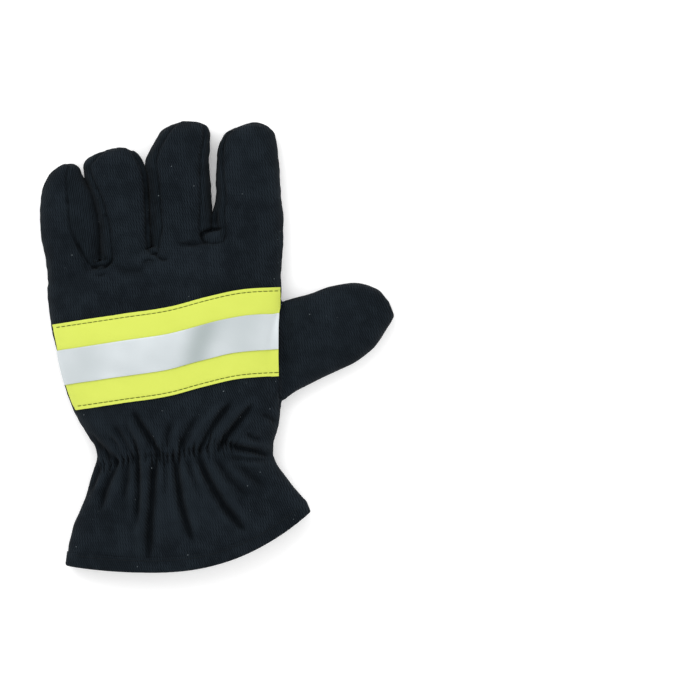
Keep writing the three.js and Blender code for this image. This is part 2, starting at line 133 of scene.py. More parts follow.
def from_run(points: Array, a: Array, b: Array) -> tuple[Array, Array]:
    """Measures points against a straight run in plan.

    Args:
        points: Places as rows of x and y, and any more columns.
        a: The run's start.
        b: The run's end.

    Returns:
        How far along the run each point lies, from 0 to 1, and how far off it.
    """
    run = b - a
    away = points[:, :2] - a
    reach = share(away @ run / max(run @ run, TINY))
    off = away - reach[:, None] * run
    return reach, np.hypot(off[:, 0], off[:, 1])


def outline_distance(points: Array, outline: Array) -> Array:
    """Signed distance in plan from points to a closed outline, negative inside.

    Args:
        points: Places as rows of x and y, and any more columns.
        outline: The corners as rows of x and y.

    Returns:
        One distance for each point.
    """
    nearest = np.full(len(points), np.inf)
    inside = np.zeros(len(points), bool)
    x, y = points[:, 0], points[:, 1]
    for a, b in zip(outline, np.roll(outline, -1, axis=0)):
        nearest = np.minimum(nearest, from_run(points, a, b)[1])
        run = b - a
        rise = run[1] if abs(run[1]) > TINY else TINY
        inside ^= ((a[1] > y) != (b[1] > y)) & (x < a[0] + run[0] * (y - a[1]) / rise)
    return np.where(inside, -nearest, nearest)


def line_distance(points: Array, line: Array) -> Array:
    """Distance in plan from points to an open line.

    Args:
        points: Places as rows of x and y, and any more columns.
        line: The line's points as rows of x and y.

    Returns:
        One distance for each point.
    """
    return np.minimum.reduce([from_run(points, a, b)[1] for a, b in zip(line, line[1:])])


@dataclass(frozen=True)
class Digit:
    """A finger or thumb stall. Rows hold along, left, right and fullness, as shares of its sizes."""

    root: tuple[float, float]
    length: float
    width: float
    height: float
    rows: tuple[tuple[float, float, float, float], ...]
    turn: float = 0.0
    patched: bool = False
    rests: bool = False

    def edges(self, along: Array) -> tuple[Array, Array, Array]:
        """Reads the digit's rows.

        Args:
            along: Places along the digit, as shares of its length.

        Returns:
            The left edge, right edge and fullness there.
        """
        table = np.array(self.rows)
        left, right, full = (smooth_read(table[:, 0], table[:, k], along) for k in (1, 2, 3))
        return left * self.width, right * self.width, full

    def place(self, x: Array, y: Array, z: Array) -> Array:
        """Moves points from the digit's own frame to the model's.

        Args:
            x: How far across the digit each point lies.
            y: How far along it.
            z: How high.

        Returns:
            The points in the model's frame.
        """
        turn = math.radians(self.turn)
        across, ahead = math.cos(turn), math.sin(turn)
        moved_x = self.root[0] + x * across - y * ahead
        moved_y = self.root[1] + x * ahead + y * across
        return np.stack([moved_x, moved_y, z], -1)


@dataclass(frozen=True)
class Crease:
    """A valley in the cloth along a line in plan, with the cloth swelling beside it. Millimetres.

    A negative depth makes a ridge. lean swells the left side of the line's way more, or the right
    where it is negative, and taper is the share of the line that each end takes to fade.
    """

    path: Plan
    depth: float
    width: float = 1.6
    swell: float = 0.45
    lean: float = 0.0
    taper: float = 0.3

    def relief(self, points: Array) -> Array:
        """How far the crease lifts the cloth.

        Args:
            points: The points, in millimetres.

        Returns:
            The lift at each point, negative in the valley.
        """
        path = np.array(self.path, float)
        lengths = np.linalg.norm(np.diff(path, axis=0), axis=1)
        gone = np.concatenate([[0], np.cumsum(lengths)]) / lengths.sum()
        nearest = np.full(len(points), np.inf)
        place, side = np.zeros(len(points)), np.zeros(len(points))
        for i, (a, b) in enumerate(zip(path, path[1:])):
            reach, distance = from_run(points, a, b)
            closer = distance < nearest
            nearest = np.where(closer, distance, nearest)
            place = np.where(closer, gone[i] + reach * (gone[i + 1] - gone[i]), place)
            turn = (b - a)[0] * (points[:, 1] - a[1]) - (b - a)[1] * (points[:, 0] - a[0])
            side = np.where(closer, np.sign(turn), side)
        ends = share(np.minimum(place, 1 - place) / self.taper)
        across = nearest / self.width
        beyond = np.exp(-np.maximum(across - 1, 0) * 0.4)
        valley = -bell(across) * (0.15 + 0.85 * ends * (2 - ends))
        bank = self.swell * bell(across - 2.4, 1.4) * ends * (1 + self.lean * side)
        return self.depth * (valley + bank) * np.where(ends > 0, 1, beyond)


@dataclass(frozen=True)
class Fourchette:
    """The strip of cloth between two fingers.

    A seam's places run from 0 at its finger's middle to 1 or -1 at the finger's edges.
    """

    panel: Panel
    left: str
    right: str
    left_seam: tuple[float, float]
    right_seam: tuple[float, float]
    left_from: float
    right_from: float
    foot: Plan

    def seam_line(self, name: str, seam: tuple[float, float], start: float) -> Array:
        """One finger's seam in plan, to past the fingertip.

        Args:
            name: The finger's name.
            seam: How far across it starts and ends.
            start: How far along the finger it starts.

        Returns:
            The seam's points.
        """
        digit = DIGITS[name]
        gone = np.linspace(0, 1, 12)
        along = start + (1.1 - start) * gone
        left, right, _ = digit.edges(np.minimum(along, 1))
        x = left + (right - left) * (seam[0] + (seam[1] - seam[0]) * gone + 1) / 2
        return digit.place(x, along * digit.length, np.zeros(len(x)))[:, :2]

    def outline(self) -> Array:
        """The strip's plan: up one seam, over both tips, down the other and round its foot.

        Returns:
            The plan's corners.
        """
        up = self.seam_line(self.left, self.left_seam, self.left_from)
        down = self.seam_line(self.right, self.right_seam, self.right_from)[::-1]
        return np.concatenate([up, down, np.array(self.foot, float)[::-1]])


@dataclass(frozen=True)
class Ripples:
    """Soft seeded unevenness: a sum of waves in all directions, about 1 high."""

    seed: int
    wavelength: float
    waves: int = 14

    def read(self, points: Array) -> Array:
        """Adds the waves up.

        Args:
            points: The points, in millimetres.

        Returns:
            The unevenness at each point.
        """
        rng = np.random.default_rng(self.seed)
        total = np.zeros(len(points))
        for _ in range(self.waves):
            way = rng.normal(size=3)
            way *= 2 * math.pi / (self.wavelength * rng.uniform(0.7, 1.6) * np.linalg.norm(way))
            total += np.cos(points @ way + rng.uniform(0, 2 * math.pi))
        return total / math.sqrt(self.waves)


DIGITS = {
    "little": Digit((-53.0, 24.59), 72.2, 34, 21, (
        (0, -0.385, 0.41, 0.85), (0.166, -0.395, 0.46, 0.97), (0.259, -0.41, 0.476, 1),
        (0.46, -0.49, 0.468, 1), (0.744, -0.495, 0.344, 0.97), (0.848, -0.44, 0.241, 0.88),
        (0.917, -0.353, 0.159, 0.74), (0.979, -0.203, 0.112, 0.5), (1, -0.13, 0.06, 0.25))),
    "ring": Digit((-22.0, 32.43), 73.6, 33, 22.5, (
        (0, -0.37, 0.38, 0.85), (0.148, -0.418, 0.424, 1), (0.4, -0.439, 0.4, 1),
        (0.63, -0.564, 0.382, 1), (0.807, -0.715, 0.345, 0.92), (0.9, -0.67, 0.255, 0.78),
        (0.947, -0.482, 0.188, 0.64), (0.993, -0.224, 0, 0.36), (1, -0.17, -0.04, 0.22))),
    "middle": Digit((10.0, 40.53), 79.9, 36, 23.5, (
        (0, -0.44, 0.42, 0.85), (0.242, -0.489, 0.456, 1), (0.379, -0.506, 0.45, 1),
        (0.592, -0.528, 0.425, 1), (0.73, -0.561, 0.405, 0.95), (0.855, -0.419, 0.415, 0.86),
        (0.94, -0.294, 0.414, 0.68), (0.982, -0.136, 0.35, 0.46), (1, -0.04, 0.25, 0.25))),
    "index": Digit((47.0, 49.89), 70, 37, 23.5, (
        (0, -0.44, 0.5, 0.85), (0.14, -0.56, 0.535, 1), (0.24, -0.555, 0.525, 1), (0.36, -0.49, 0.5, 1),
        (0.6, -0.485, 0.47, 0.96), (0.714, -0.465, 0.449, 0.92), (0.843, -0.42, 0.424, 0.84),
        (0.94, -0.28, 0.365, 0.66), (0.989, -0.065, 0.227, 0.42), (1, 0, 0.162, 0.25)), patched=True),
    "thumb": Digit((17.16, -25.4), 119.2, 48, 22, (
        (0, -0.44, 0.5, 0.75), (0.153, -0.51, 0.58, 0.9), (0.356, -0.53, 0.55, 1),
        (0.517, -0.53, 0.483, 1), (0.678, -0.52, 0.433, 1), (0.763, -0.52, 0.402, 0.97),
        (0.873, -0.456, 0.281, 0.86), (0.941, -0.344, 0.15, 0.66), (0.966, -0.277, 0.104, 0.52),
        (0.99, -0.13, 0.05, 0.3)), turn=-71, rests=True),
}


@dataclass(frozen=True)
class Hand:
    """The hand and cuff as one tube, from the cuff's mouth to the knuckles."""

    palm_length: float = 118
    palm_width: float = 132
    wrist_y: float = -68
    wrist_width: float = 99
    wrist_shift: float = 11.5
    height: float = 31
    knuckle_rise: float = 33.4
    seam: float = 10
    cuff_length: float = 66
    mouth_width: float = 138
    mouth_shift: float = 13
    mouth_height: float = 25
    hem_height: float = 8.5
    mouth_rise_little: float = 3.5
    mouth_rise_thumb: float = 33.4
    mouth_lowest: float = -0.3
    mouth_curve: float = 2.3
    stand_off: float = 1.5
    back_curve: float = 2.5
    belly_curve: float = 7
    belly_flat: float = 5
    palm_rows: tuple[tuple[float, float, float, float], ...] = (
        (0, 0, 0, 0.81), (0.06, 0.07, -0.08, 0.84), (0.12, 0.21, 0.52, 0.905),
        (0.19, 0.367, 0.8, 0.95), (0.32, 0.573, 0.84, 1), (0.46, 0.73, 0.9, 1),
        (0.62, 0.854, 0.9, 0.976), (0.8, 0.975, 0.9, 0.857), (0.93, 1, 1.08, 0.7),
        (1, 0.91, 0.5, 0.476))
    cuff_rows: tuple[tuple[float, float, float, float, float], ...] = (
        (0, 0, 0, 0, 1), (0.2, 0.217, 0.153, 0.1, 1), (0.4, 0.417, 0.383, 0.3, 1),
        (0.6, 0.694, 0.622, 0.55, 1), (0.8, 0.911, 0.876, 0.8, 0.4), (1, 1, 1, 1, 0.4),
        (1.2, 1.1, 1.1, 1, 0.4))

    def knuckle_y(self, across: Array) -> Array:
        """The knuckle line at places across the hand from -1 to 1."""
        return self.palm_length + self.wrist_y + across * self.knuckle_rise / 2

    def mouth_y(self, across: Array) -> Array:
        """Where the cuff's mouth lies.

        Args:
            across: Places across the hand, from -1 to 1.

        Returns:
            The mouth's place along the hand there.
        """
        low = self.mouth_lowest
        little = self.mouth_rise_little * (share(low - across) / (1 + low)) ** 2
        thumb = self.mouth_rise_thumb * (np.clip(across - low, 0, 1.5) / (1 - low)) ** self.mouth_curve
        return self.wrist_y - self.cuff_length + little + thumb

    def section(self, across: Array, y: Array) -> tuple[Array, Array, Array, Array]:
        """The size of the tube at each place.

        Args:
            across: Places across the hand, from -1 to 1.
            y: Places along it.

        Returns:
            The left edge, the right edge, how far the crown rises over the seam, and the base.
        """
        palm = share((y - self.wrist_y) / (self.knuckle_y(across) - self.wrist_y))
        cuff = np.clip((self.wrist_y - y) / (self.wrist_y - self.mouth_y(across)), 0, 1.2)
        rows, mouth = np.array(self.palm_rows), np.array(self.cuff_rows)
        in_palm = y >= self.wrist_y
        left, right = (np.where(in_palm, smooth_read(rows[:, 0], rows[:, k], palm),
                                np.interp(cuff, mouth[:, 0], mouth[:, k])) for k in (1, 2))
        full = smooth_read(mouth[:, 0], mouth[:, 3], cuff)
        width = np.where(in_palm, self.palm_width, self.mouth_width)
        shift = np.where(in_palm, 0, self.mouth_shift)
        near_left = self.wrist_shift - self.wrist_width / 2
        near_right = self.wrist_shift + self.wrist_width / 2
        left = near_left + (shift - width / 2 - near_left) * left
        right = near_right + (shift + width / 2 - near_right) * right
        over = self.height - self.seam
        wrist_crown = rows[0, 3] * over
        palm_crown = smooth_read(rows[:, 0], rows[:, 3], palm) * over
        cuff_crown = wrist_crown + (self.mouth_height - self.seam - wrist_crown) * full
        crown = np.where(in_palm, palm_crown, cuff_crown)
        base = self.stand_off * np.where(in_palm, 1, np.interp(cuff, mouth[:, 0], mouth[:, 4]))
        return left, right, crown, base

    def surface(self, across: Array, y: Array, over: Array, grow: float = 0.0) -> Array:
        """Points on the tube.

        Args:
            across: Places across the hand, from -1 to 1.
            y: Places along it.
            over: A flag for each point that is over the back and not under the palm.
            grow: How far outside the tube they lie.

        Returns:
            The points.
        """
        left, right, crown, base = self.section(across, y)
        left, right = left - grow, right + grow
        edge = np.abs(across)
        dome = self.seam + (crown + grow) * (1 - edge**self.back_curve) ** (1 / self.back_curve)
        flat = (1 - edge**self.belly_curve) ** (1 / self.belly_flat)
        belly = self.seam - (self.seam - base + grow) * flat
        x = (left + right) / 2 + (right - left) / 2 * across
        return np.stack([x, y, np.where(over, dome, belly)], -1)

    def across(self, points: Array) -> Array:
        """Finds how far across the hand points lie.

        Args:
            points: The points, in millimetres.

        Returns:
            A place for each, from -1 at the little finger's edge to 1.
        """
        place = np.clip(points[:, 0] / (self.palm_width / 2), -1, 1)
        for _ in range(6):
            left, right, _, _ = self.section(place, points[:, 1])
            place = np.clip((2 * points[:, 0] - left - right) / (right - left), -1, 1)
        return place


def ring_places(count: int) -> tuple[Array, Array]:
    """Places round a ring: how far across each lies, and whether it is over the back.

    Args:
        count: How many places, an even number.

    Returns:
        The places across, from -1 to 1, and a flag for each.
    """
    turn = 2 * np.pi * np.arange(count) / count
    return -np.cos(turn), np.arange(count) <= count // 2


def deselect_all() -> None:
    """Leaves nothing selected, so that an operator acts on new pieces alone."""
    if bpy.context.mode != "OBJECT":
        bpy.ops.object.mode_set(mode="OBJECT")
    bpy.ops.object.select_all(action="DESELECT")


def pick(piece: bpy.types.Object) -> None:
    """Makes one piece the only selected one and the active one."""
    deselect_all()
    piece.select_set(True)
    bpy.context.view_layer.objects.active = piece


class Chosen(Enum):
    """What is selected when an edit starts."""

    EVERYTHING = "SELECT"
    NOTHING = "DESELECT"
    AS_IT_WAS = ""


@contextmanager
def editing(chosen: Chosen = Chosen.EVERYTHING) -> Iterator[None]:
    """Edits the active piece, and leaves edit mode after."""
    bpy.ops.object.mode_set(mode="EDIT")
    if chosen is not Chosen.AS_IT_WAS:
        bpy.ops.mesh.select_all(action=chosen.value)
    yield
    bpy.ops.object.mode_set(mode="OBJECT")


def select_faces(piece: bpy.types.Object, chosen: Array) -> None:
    """Selects a piece's flagged faces and nothing else of it.

    Args:
        piece: The piece.
        chosen: A flag for each face.
    """
    pick(piece)
    with editing(Chosen.NOTHING):
        bpy.ops.mesh.select_mode(type="FACE")
    piece.data.polygons.foreach_set("select", chosen)


def read(items: bpy.types.bpy_prop_collection, name: str, width: int = 1, kind: type = float) -> Array:
    """Reads one property of all items.

    Args:
        items: The vertices, edges, corners, faces or attribute values.
        name: The property's name.
        width: How many numbers each item holds.
        kind: The numbers' type.

    Returns:
        A row of numbers for each item, or one flat row where the width is 1.
    """
    flat = np.empty(len(items) * width, kind)
    items.foreach_get(name, flat)
    return flat.reshape(-1, width) if width > 1 else flat


def vertices(piece: bpy.types.Object) -> Array:
    """A piece's vertices in millimetres."""
    return read(piece.data.vertices, "co", 3) / MM


def set_vertices(piece: bpy.types.Object, points: Array) -> None:
    """Moves a piece's vertices, given in millimetres."""
    piece.data.vertices.foreach_set("co", (points * MM).ravel())
    piece.data.update()


def normals(piece: bpy.types.Object) -> Array:
    """The direction in which each vertex faces."""
    return read(piece.data.vertex_normals, "vector", 3)


def face_corners(piece: bpy.types.Object) -> tuple[Array, Array]:
    """Every face corner's vertex, and the face that it belongs to."""
    corners = read(piece.data.loops, "vertex_index", kind=np.int32)
    counts = read(piece.data.polygons, "loop_total", kind=np.int32)
    return corners, np.repeat(np.arange(len(counts)), counts)


def face_centres(piece: bpy.types.Object) -> Array:
    """The middle of each face, in millimetres."""
    return read(piece.data.polygons, "center", 3) / MM


def apply_modifier(piece: bpy.types.Object, kind: str, **settings: object) -> None:
    """Adds a modifier with its settings and applies it.

    Args:
        piece: The piece that it changes.
        kind: Blender's name for the modifier's kind.
        settings: The modifier's own settings.
    """
    pick(piece)
    modifier = piece.modifiers.new(kind.title(), kind)
    for key, value in settings.items():
        setattr(modifier, key, value)
    bpy.ops.object.modifier_apply(modifier=modifier.name)


def calm(piece: bpy.types.Object, limit: float = 0.8, rounds: int = 5) -> None:
    """Pulls vertices that stand far out from their neighbours back among them.

    Args:
        piece: The piece.
        limit: How far out a vertex may stand, in millimetres.
        rounds: How often it is done.
    """
    one, other = read(piece.data.edges, "vertices", 2, np.int32).T
    points = vertices(piece)
    counts = np.bincount(one, minlength=len(points)) + np.bincount(other, minlength=len(points))
    counts = np.maximum(counts, 1)[:, None]
    for _ in range(rounds):
        total = np.zeros_like(points)
        np.add.at(total, one, points[other])
        np.add.at(total, other, points[one])
        middle = total / counts
        off = np.linalg.norm(points - middle, axis=1)
        points = np.where((off > limit)[:, None], middle, points)
    set_vertices(piece, points)


def make_tube(name: str, rings: Array) -> bpy.types.Object:
    """A closed tube, extruded ring by ring from a disc.

    Args:
        name: The piece's name.
        rings: The points of each ring, in millimetres.

    Returns:
        The tube.
    """
    stations, count, _ = rings.shape
    deselect_all()
    bpy.ops.mesh.primitive_circle_add(vertices=count, radius=1, fill_type="NGON", location=(0, 0, 0))
    tube = bpy.context.object
    tube.name = name
    with editing():
        for _ in range(stations - 1):
            bpy.ops.mesh.extrude_region_move(TRANSFORM_OT_translate={"value": (0, 0, 1)})
    start = vertices(tube) * MM
    station = np.rint(start[:, 2]).astype(int)
    turn = np.arctan2(start[:, 1], start[:, 0]) * count / (2 * np.pi)
    set_vertices(tube, rings[station, np.rint(turn).astype(int) % count])
    with editing():
        bpy.ops.mesh.normals_make_consistent(inside=False)
    return tube


@dataclass(frozen=True)
class Gathers:
    """The small pleats on both sides of the elastic at the wrist, and the groove that it pulls in."""

    pitch: float = 2.9
    height: float = 2.9
    reach_ahead: float = 7.5
    reach_behind: float = 6.5
    left: float = -39
    right: float = 45
    slant: float = 0.16
    groove: float = 0.6
    groove_width: float = 1.6

    def relief(self, points: Array, wrist_y: float) -> Array:
        """How far the pleats and the groove lift the cloth at each point.

        Args:
            points: The points, in millimetres.
            wrist_y: Where the wrist line lies.

        Returns:
            The lift, negative in the groove and between the pleats.
        """
        x = points[:, 0]
        middle = wrist_y + 0.6 + self.slant * np.clip(x, -30, 42)
        along = points[:, 1] - middle + 0.9 * np.sin(x / 7.3 + 0.6) + 0.4 * np.sin(x / 2.9)
        lean = np.where(along > 0, 0.035 * (x - 4), -0.012 * (x + 12)) * along / 3
        turns = (x - lean) / self.pitch + 0.35 * np.sin(x / 6.1) + 0.26 * np.sin(x / 2.7 + 1 + along / 9)
        uneven = 0.75 + 0.6 * Ripples(5, 8).read(points)
        reach = np.where(along > 0, self.reach_ahead, self.reach_behind)
        reach = reach * (0.85 + 0.35 * np.sin(turns * 2.4 + 0.7))
        inside = share((x - self.left) / 6) * share((self.right - x) / 8)
        fade = np.exp(-np.abs(along / reach) ** 2.2) * inside
        puffs = np.abs(np.sin(np.pi * turns)) ** 0.7 - 0.62
        return self.height * uneven * fade * puffs - self.groove * bell(along, self.groove_width) * inside


@dataclass
class GloveSkin:
    """The glove's whole outer surface, which every cloth panel is cut from."""

    hand: Hand = field(default_factory=Hand)
    voxel: float = 0.85
    digit_shrink: float = 0.8
    digit_fill: float = 1.0
    digit_touch: float = 0.7
    digit_curve: float = 2.3
    belly_curve: float = 4
    belly_fill: float = 1.7
    touch_ends: tuple[float, float] = (88, 95)
    touch_from: float = -64
    touch_to: float = 8
    touch_fade: float = 8
    mouth_overrun: float = 6.0
    fine_reach: float = 13.5
    fine_above: float = 4
    thumb_start: float = 0.62
    thumb_side: float = 64.5
    thumb_rise: float = 11
    gathers: Gathers = Gathers()
    fourchettes: tuple[Fourchette, ...] = (
        Fourchette(Panel.LITTLE_RING, "little", "ring", (0, 0.1), (-0.55, -0.9), 0.5, 0.2,
                   ((-49.6, 52), (-45.5, 44.5), (-41.8, 39), (-37, 37), (-32, 38.6), (-29.6, 42))),
        Fourchette(Panel.RING_MIDDLE, "ring", "middle", (0.9, 0.9), (-0.64, -0.75), 0.35, 0.25,
                   ((-10.2, 55), (-9.6, 49), (-7.5, 45.6), (-4, 46), (-3, 54))),
        Fourchette(Panel.MIDDLE_INDEX, "middle", "index", (0.64, 0.85), (-0.68, -0.97), 0.35, 0.28,
                   ((19.8, 62), (20.6, 54.5), (22.5, 52.4), (27, 51.6), (33, 52.6), (34.3, 56), (33.8, 64))))
    wrist_creases: tuple[Crease, ...] = (
        Crease(((-42, -56), (-39, -61), (-33, -67), (-25, -74)), 1.9, 1.9, lean=-0.4),
        Crease(((-17.5, -43), (-14, -50), (-8, -58.5), (-3.5, -66), (-2.5, -71)), 3.2, 1.7, lean=-0.3,
               taper=0.25),
        Crease(((-22, -50), (-18, -58), (-14, -66)), 1.0, 1.6),
        Crease(((-16.4, -66), (-14.6, -76), (-14.2, -88), (-15.5, -106)), 3.0, 1.7, lean=0.4, taper=0.25),
        Crease(((-4.6, -66), (-6.6, -80), (-8.2, -104), (-9.2, -127)), 3.3, 2.1, lean=-0.2, taper=0.25),
        Crease(((5.4, -66), (7.2, -80), (9.6, -96), (16, -117)), 3.2, 1.8, lean=0.4, taper=0.25),
        Crease(((17.6, -66), (25, -82), (34, -97), (46, -111)), 3.4, 1.9, lean=0.3, taper=0.25),
        Crease(((38, -38), (30.5, -47), (23.5, -58), (19.5, -68)), 3.2, 1.8, lean=-0.3, taper=0.25),
        Crease(((50, -39), (42.5, -48), (34.5, -57.5), (29.5, -67)), 3.0, 1.7, lean=-0.4, taper=0.25),
        Crease(((19, -45), (13, -55), (9, -65)), 1.7, 2.4),
        Crease(((35, -61), (41, -63.5), (50, -65), (60, -68)), 3.0, 1.6, lean=0.4),
        Crease(((36.5, -68.6), (48, -70.4), (60, -70.2)), 1.4, 1.2, lean=-0.5),
        Crease(((46, -55), (50, -58.6), (55, -59)), 1.5, 1.5),
        Crease(((55, -44.5), (60, -47), (64, -49.5)), 1.6, 1.6),
        Crease(((-31, -57), (-27, -62), (-25, -67)), 1.2, 1.3),
        Crease(((-26.5, -69), (-29.5, -77), (-34, -87), (-37, -100)), 2.0, 1.9, lean=0.3),
        Crease(((-35, -72), (-39, -80), (-42, -88)), 1.9, 1.8),
        Crease(((-36, -62), (-39.5, -66), (-38, -72)), 1.0, 1.5),
        Crease(((-21, -68), (-21.5, -80), (-24, -95)), 1.6, 1.7),
        Crease(((0.3, -67), (0.8, -78), (0.2, -92)), 1.6, 1.5),
        Crease(((12, -67), (15.5, -79), (21, -92)), 1.7, 1.5),
        Crease(((27, -67), (36, -80), (47, -91)), 1.6, 1.9),
        Crease(((4.5, -48), (1.5, -58), (0, -68)), 1.4, 1.6),
        Crease(((27, -46), (20, -57), (15, -67)), 1.5, 1.6),
        Crease(((-29, -50), (-24, -58), (-19, -67)), 1.4, 1.5),
        Crease(((-10, -60), (-8.5, -66), (-9, -73)), 1.6, 1.2),
        Crease(((10, -57), (10, -65), (9, -72)), 1.5, 1.2),
        Crease(((38, -68), (46, -77), (58, -86)), 1.3, 2.2),
        Crease(((-11, -76), (-11.5, -96), (-12.5, -118)), -0.8, 3.2, 0.0),
        Crease(((1.5, -78), (2.5, -98), (5, -120)), -0.9, 4.0, 0.0),
        Crease(((14, -78), (20, -94), (29, -112)), -0.9, 4.0, 0.0))
    hand_creases: tuple[Crease, ...] = (
        Crease(((21.2, 53), (21.2, 56.4), (23, 58.3), (29.5, 59.7), (33.4, 60.2)), 1.9, 0.95, 0.2),
        Crease(((24.2, 55.6), (28, 56.3), (31.5, 56.6)), -1.5, 2.0, 0.0),
        Crease(((6, 50.8), (16, 51.2), (24.5, 52.4)), 1.3, 1.1),
        Crease(((28.8, 70), (28.2, 64), (29.5, 60.5)), 1.6, 1.3, 0.2),
        Crease(((-29.5, 41), (-22, 36.6), (-14.1, 36.7), (-9.3, 41.5)), 1.1, 2.4),
        Crease(((-7.3, 48.5), (-5, 45), (-1.2, 42.6), (3, 43)), 1.5, 1.0),
        Crease(((-13, 41), (-8.6, 42.8), (-4.5, 40.8)), 1.2, 1.0),
        Crease(((-42.6, 37), (-37, 39.4), (-32.5, 39.4), (-29.5, 42)), 1.8, 1.1),
        Crease(((-40, 34.6), (-36, 33.6), (-32.5, 35)), 1.1, 0.95),
        Crease(((-45.5, 41), (-43.5, 36)), 0.9, 1.0),
        Crease(((-49.5, 52), (-45.5, 44.5)), 0.9, 1.6),
        Crease(((-58, 76), (-52, 74.5)), 0.5, 1.6),
        Crease(((-27, 62), (-16, 60)), 0.6, 2.2),
        Crease(((0, 83), (14, 81)), 0.6, 2.2),
        Crease(((38, 84), (56, 82)), 0.6, 2.4),
        Crease(((-26, 78), (-15, 76.5)), 0.5, 2.0),
        Crease(((40, 66), (52, 65)), 0.5, 2.2))
    seam_depth: float = 0.9
    seam_bank: float = 0.35
    most_relief: float = 3.6
    piece: bpy.types.Object = None

    def tubes(self) -> list[bpy.types.Object]:
        """The hand and cuff, and each digit, as closed tubes.

        Returns:
            The tubes, the hand's first.
        """
        across, over = ring_places(96)
        cuff = 1 + self.mouth_overrun / self.hand.cuff_length
        stations = np.concatenate([-cuff + np.linspace(0, 1, 24) * cuff, np.linspace(0, 1, 40)[1:]])
        rings = []
        for station in stations:
            end = self.hand.knuckle_y(across) if station > 0 else self.hand.mouth_y(across)
            y = self.hand.wrist_y + abs(station) * (end - self.hand.wrist_y)
            rings.append(self.hand.surface(across, y, over))
        pieces = [make_tube("hand_tube", np.array(rings))]
        pieces += [make_tube(f"{name}_tube", self.digit_rings(digit)) for name, digit in DIGITS.items()]
        return pieces

    def digit_rings(self, digit: Digit) -> Array:
        """The rings of a digit's tube, closed round at the tip.

        Args:
            digit: The finger or thumb.

        Returns:
            The points of each ring.
        """
        across, over = ring_places(64)
        grow = 0 if digit.rests else -self.digit_shrink
        rings = []
        for along in digit.rows[-1][0] * (1 - (1 - np.linspace(0, 1, 44)) ** 1.3):
            left, right, full = digit.edges(np.array([along]))
            left, right = left - grow, right + grow
            lift = 0.0 if digit.rests else 1.0
            if not digit.rests and not digit.patched:
                lift = 1 - ease((along - 0.25) / 0.25)
            base = self.hand.stand_off * lift
            crown = (digit.height - self.hand.seam) * full + grow
            depth = (self.hand.seam - base) * np.minimum(1, self.belly_fill * full) + grow
            edge = np.abs(across)
            dome = (1 - edge**self.digit_curve) ** (1 / self.digit_curve)
            belly = (1 - edge**self.belly_curve) ** (1 / self.belly_curve)
            z = np.where(over, crown * dome, -depth * belly)
            x = (left + right) / 2 + (right - left) / 2 * across
            y = np.full(len(across), along * digit.length + grow * max(0, (along - 0.9) / 0.1))
            rings.append(digit.place(x, y, self.hand.seam + z))
        return np.array(rings)

    def model(self) -> None:
        """Joins the tubes into one even skin and works the cloth's shapes into it."""
        tubes = self.tubes()
        deselect_all()
        for tube in tubes:
            tube.select_set(True)
        bpy.context.view_layer.objects.active = tubes[0]
        bpy.ops.object.join()
        self.piece = tubes[0]
        self.piece.name = "glove_skin"
        apply_modifier(self.piece, "REMESH", mode="VOXEL", voxel_size=self.voxel * MM)
        apply_modifier(self.piece, "SMOOTH", factor=0.5, iterations=6)
        self.fill_digits()
        self.sink_thumb()
        self.refine_wrist()
        self.work_cloth()
        LOG.info("skin: %d vertices", len(self.piece.data.vertices))

    def refine_wrist(self) -> None:
        """Gives the skin over the elastic a finer mesh for its small pleats."""
        centres = face_centres(self.piece)
        near = np.abs(centres[:, 1] - self.hand.wrist_y + 1) < self.fine_reach
        select_faces(self.piece, near & (centres[:, 2] > self.hand.seam + self.fine_above))
        with editing(Chosen.AS_IT_WAS):
            bpy.ops.mesh.subdivide(number_cuts=1, smoothness=0)

    def fill_digits(self) -> None:
        """Grows the fingers back to size once the narrow gaps between them are safe in the skin."""
        points, facing = vertices(self.piece), normals(self.piece)
        x, y, _ = points.T
        line = self.hand.knuckle_y(x / (self.hand.palm_width / 2))
        ends = np.where(x < -30, *self.touch_ends)
        touching = facing[:, 0] ** 2
        for inside in (self.touch_to - x, x - self.touch_from, ends - y):
            touching = touching * share(inside / self.touch_fade)
        grown = (self.digit_fill + self.digit_touch * touching) * share((y - line + 14) / 12)
        set_vertices(self.piece, points + facing * grown[:, None])

    def sink_thumb(self) -> None:
        """Lets the thumb start low beside the hand's edge, so that the hand overhangs it."""
        points = vertices(self.piece)
        x, y, z = points.T
        rise = ease((x - self.thumb_side - 1) / self.thumb_rise)
        _, edge, _, _ = self.hand.section(np.ones(len(y)), y)
        beside = (x > np.maximum(self.thumb_side, edge + 0.3)) & (y < 34) & (y > -52) & (z > self.hand.seam)
        kept = self.thumb_start + (1 - self.thumb_start) * rise
        points[:, 2] = np.where(beside, self.hand.seam + (z - self.hand.seam) * kept, z)
        set_vertices(self.piece, points)

    def work_cloth(self) -> None:
        """Moves the skin in and out for creases, gathers and the cloth's own unevenness, and keeps the
        painted shade of its folds as an attribute.
        """
        points, facing = vertices(self.piece), normals(self.piece)
        upward = share(facing[:, 2] * 2.2) * (points[:, 2] > self.hand.seam)
        creases = self.wrist_creases + self.hand_creases
        sharp = self.gathers.relief(points, self.hand.wrist_y)
        sharp = sharp + sum(crease.relief(points) for crease in creases)
        sharp = self.most_relief * np.tanh(sharp / self.most_relief)
        relief = upward * sharp + 0.3 * Ripples(3, 34).read(points) + 0.16 * Ripples(8, 12).read(points)
        relief *= np.where(facing[:, 2] < -0.5, 0.2, 1)
        set_vertices(self.piece, keep_above(points + facing * relief[:, None], 0.05))
        calm(self.piece)
        # Painted shade for the colour: positive in the fold valleys, which are painted darker, and negative
        # on the fold ridges, which are painted lighter as a painted highlight.
        hollow, endwise = np.clip(-upward * sharp / 1.7, -1, 1), np.abs(facing @ np.array(WEFT))
        for name, values in (("hollow", hollow), ("endwise", endwise)):
            made = self.piece.data.attributes.new(name, "FLOAT", "POINT")
            made.data.foreach_set("value", values.astype(np.float32))

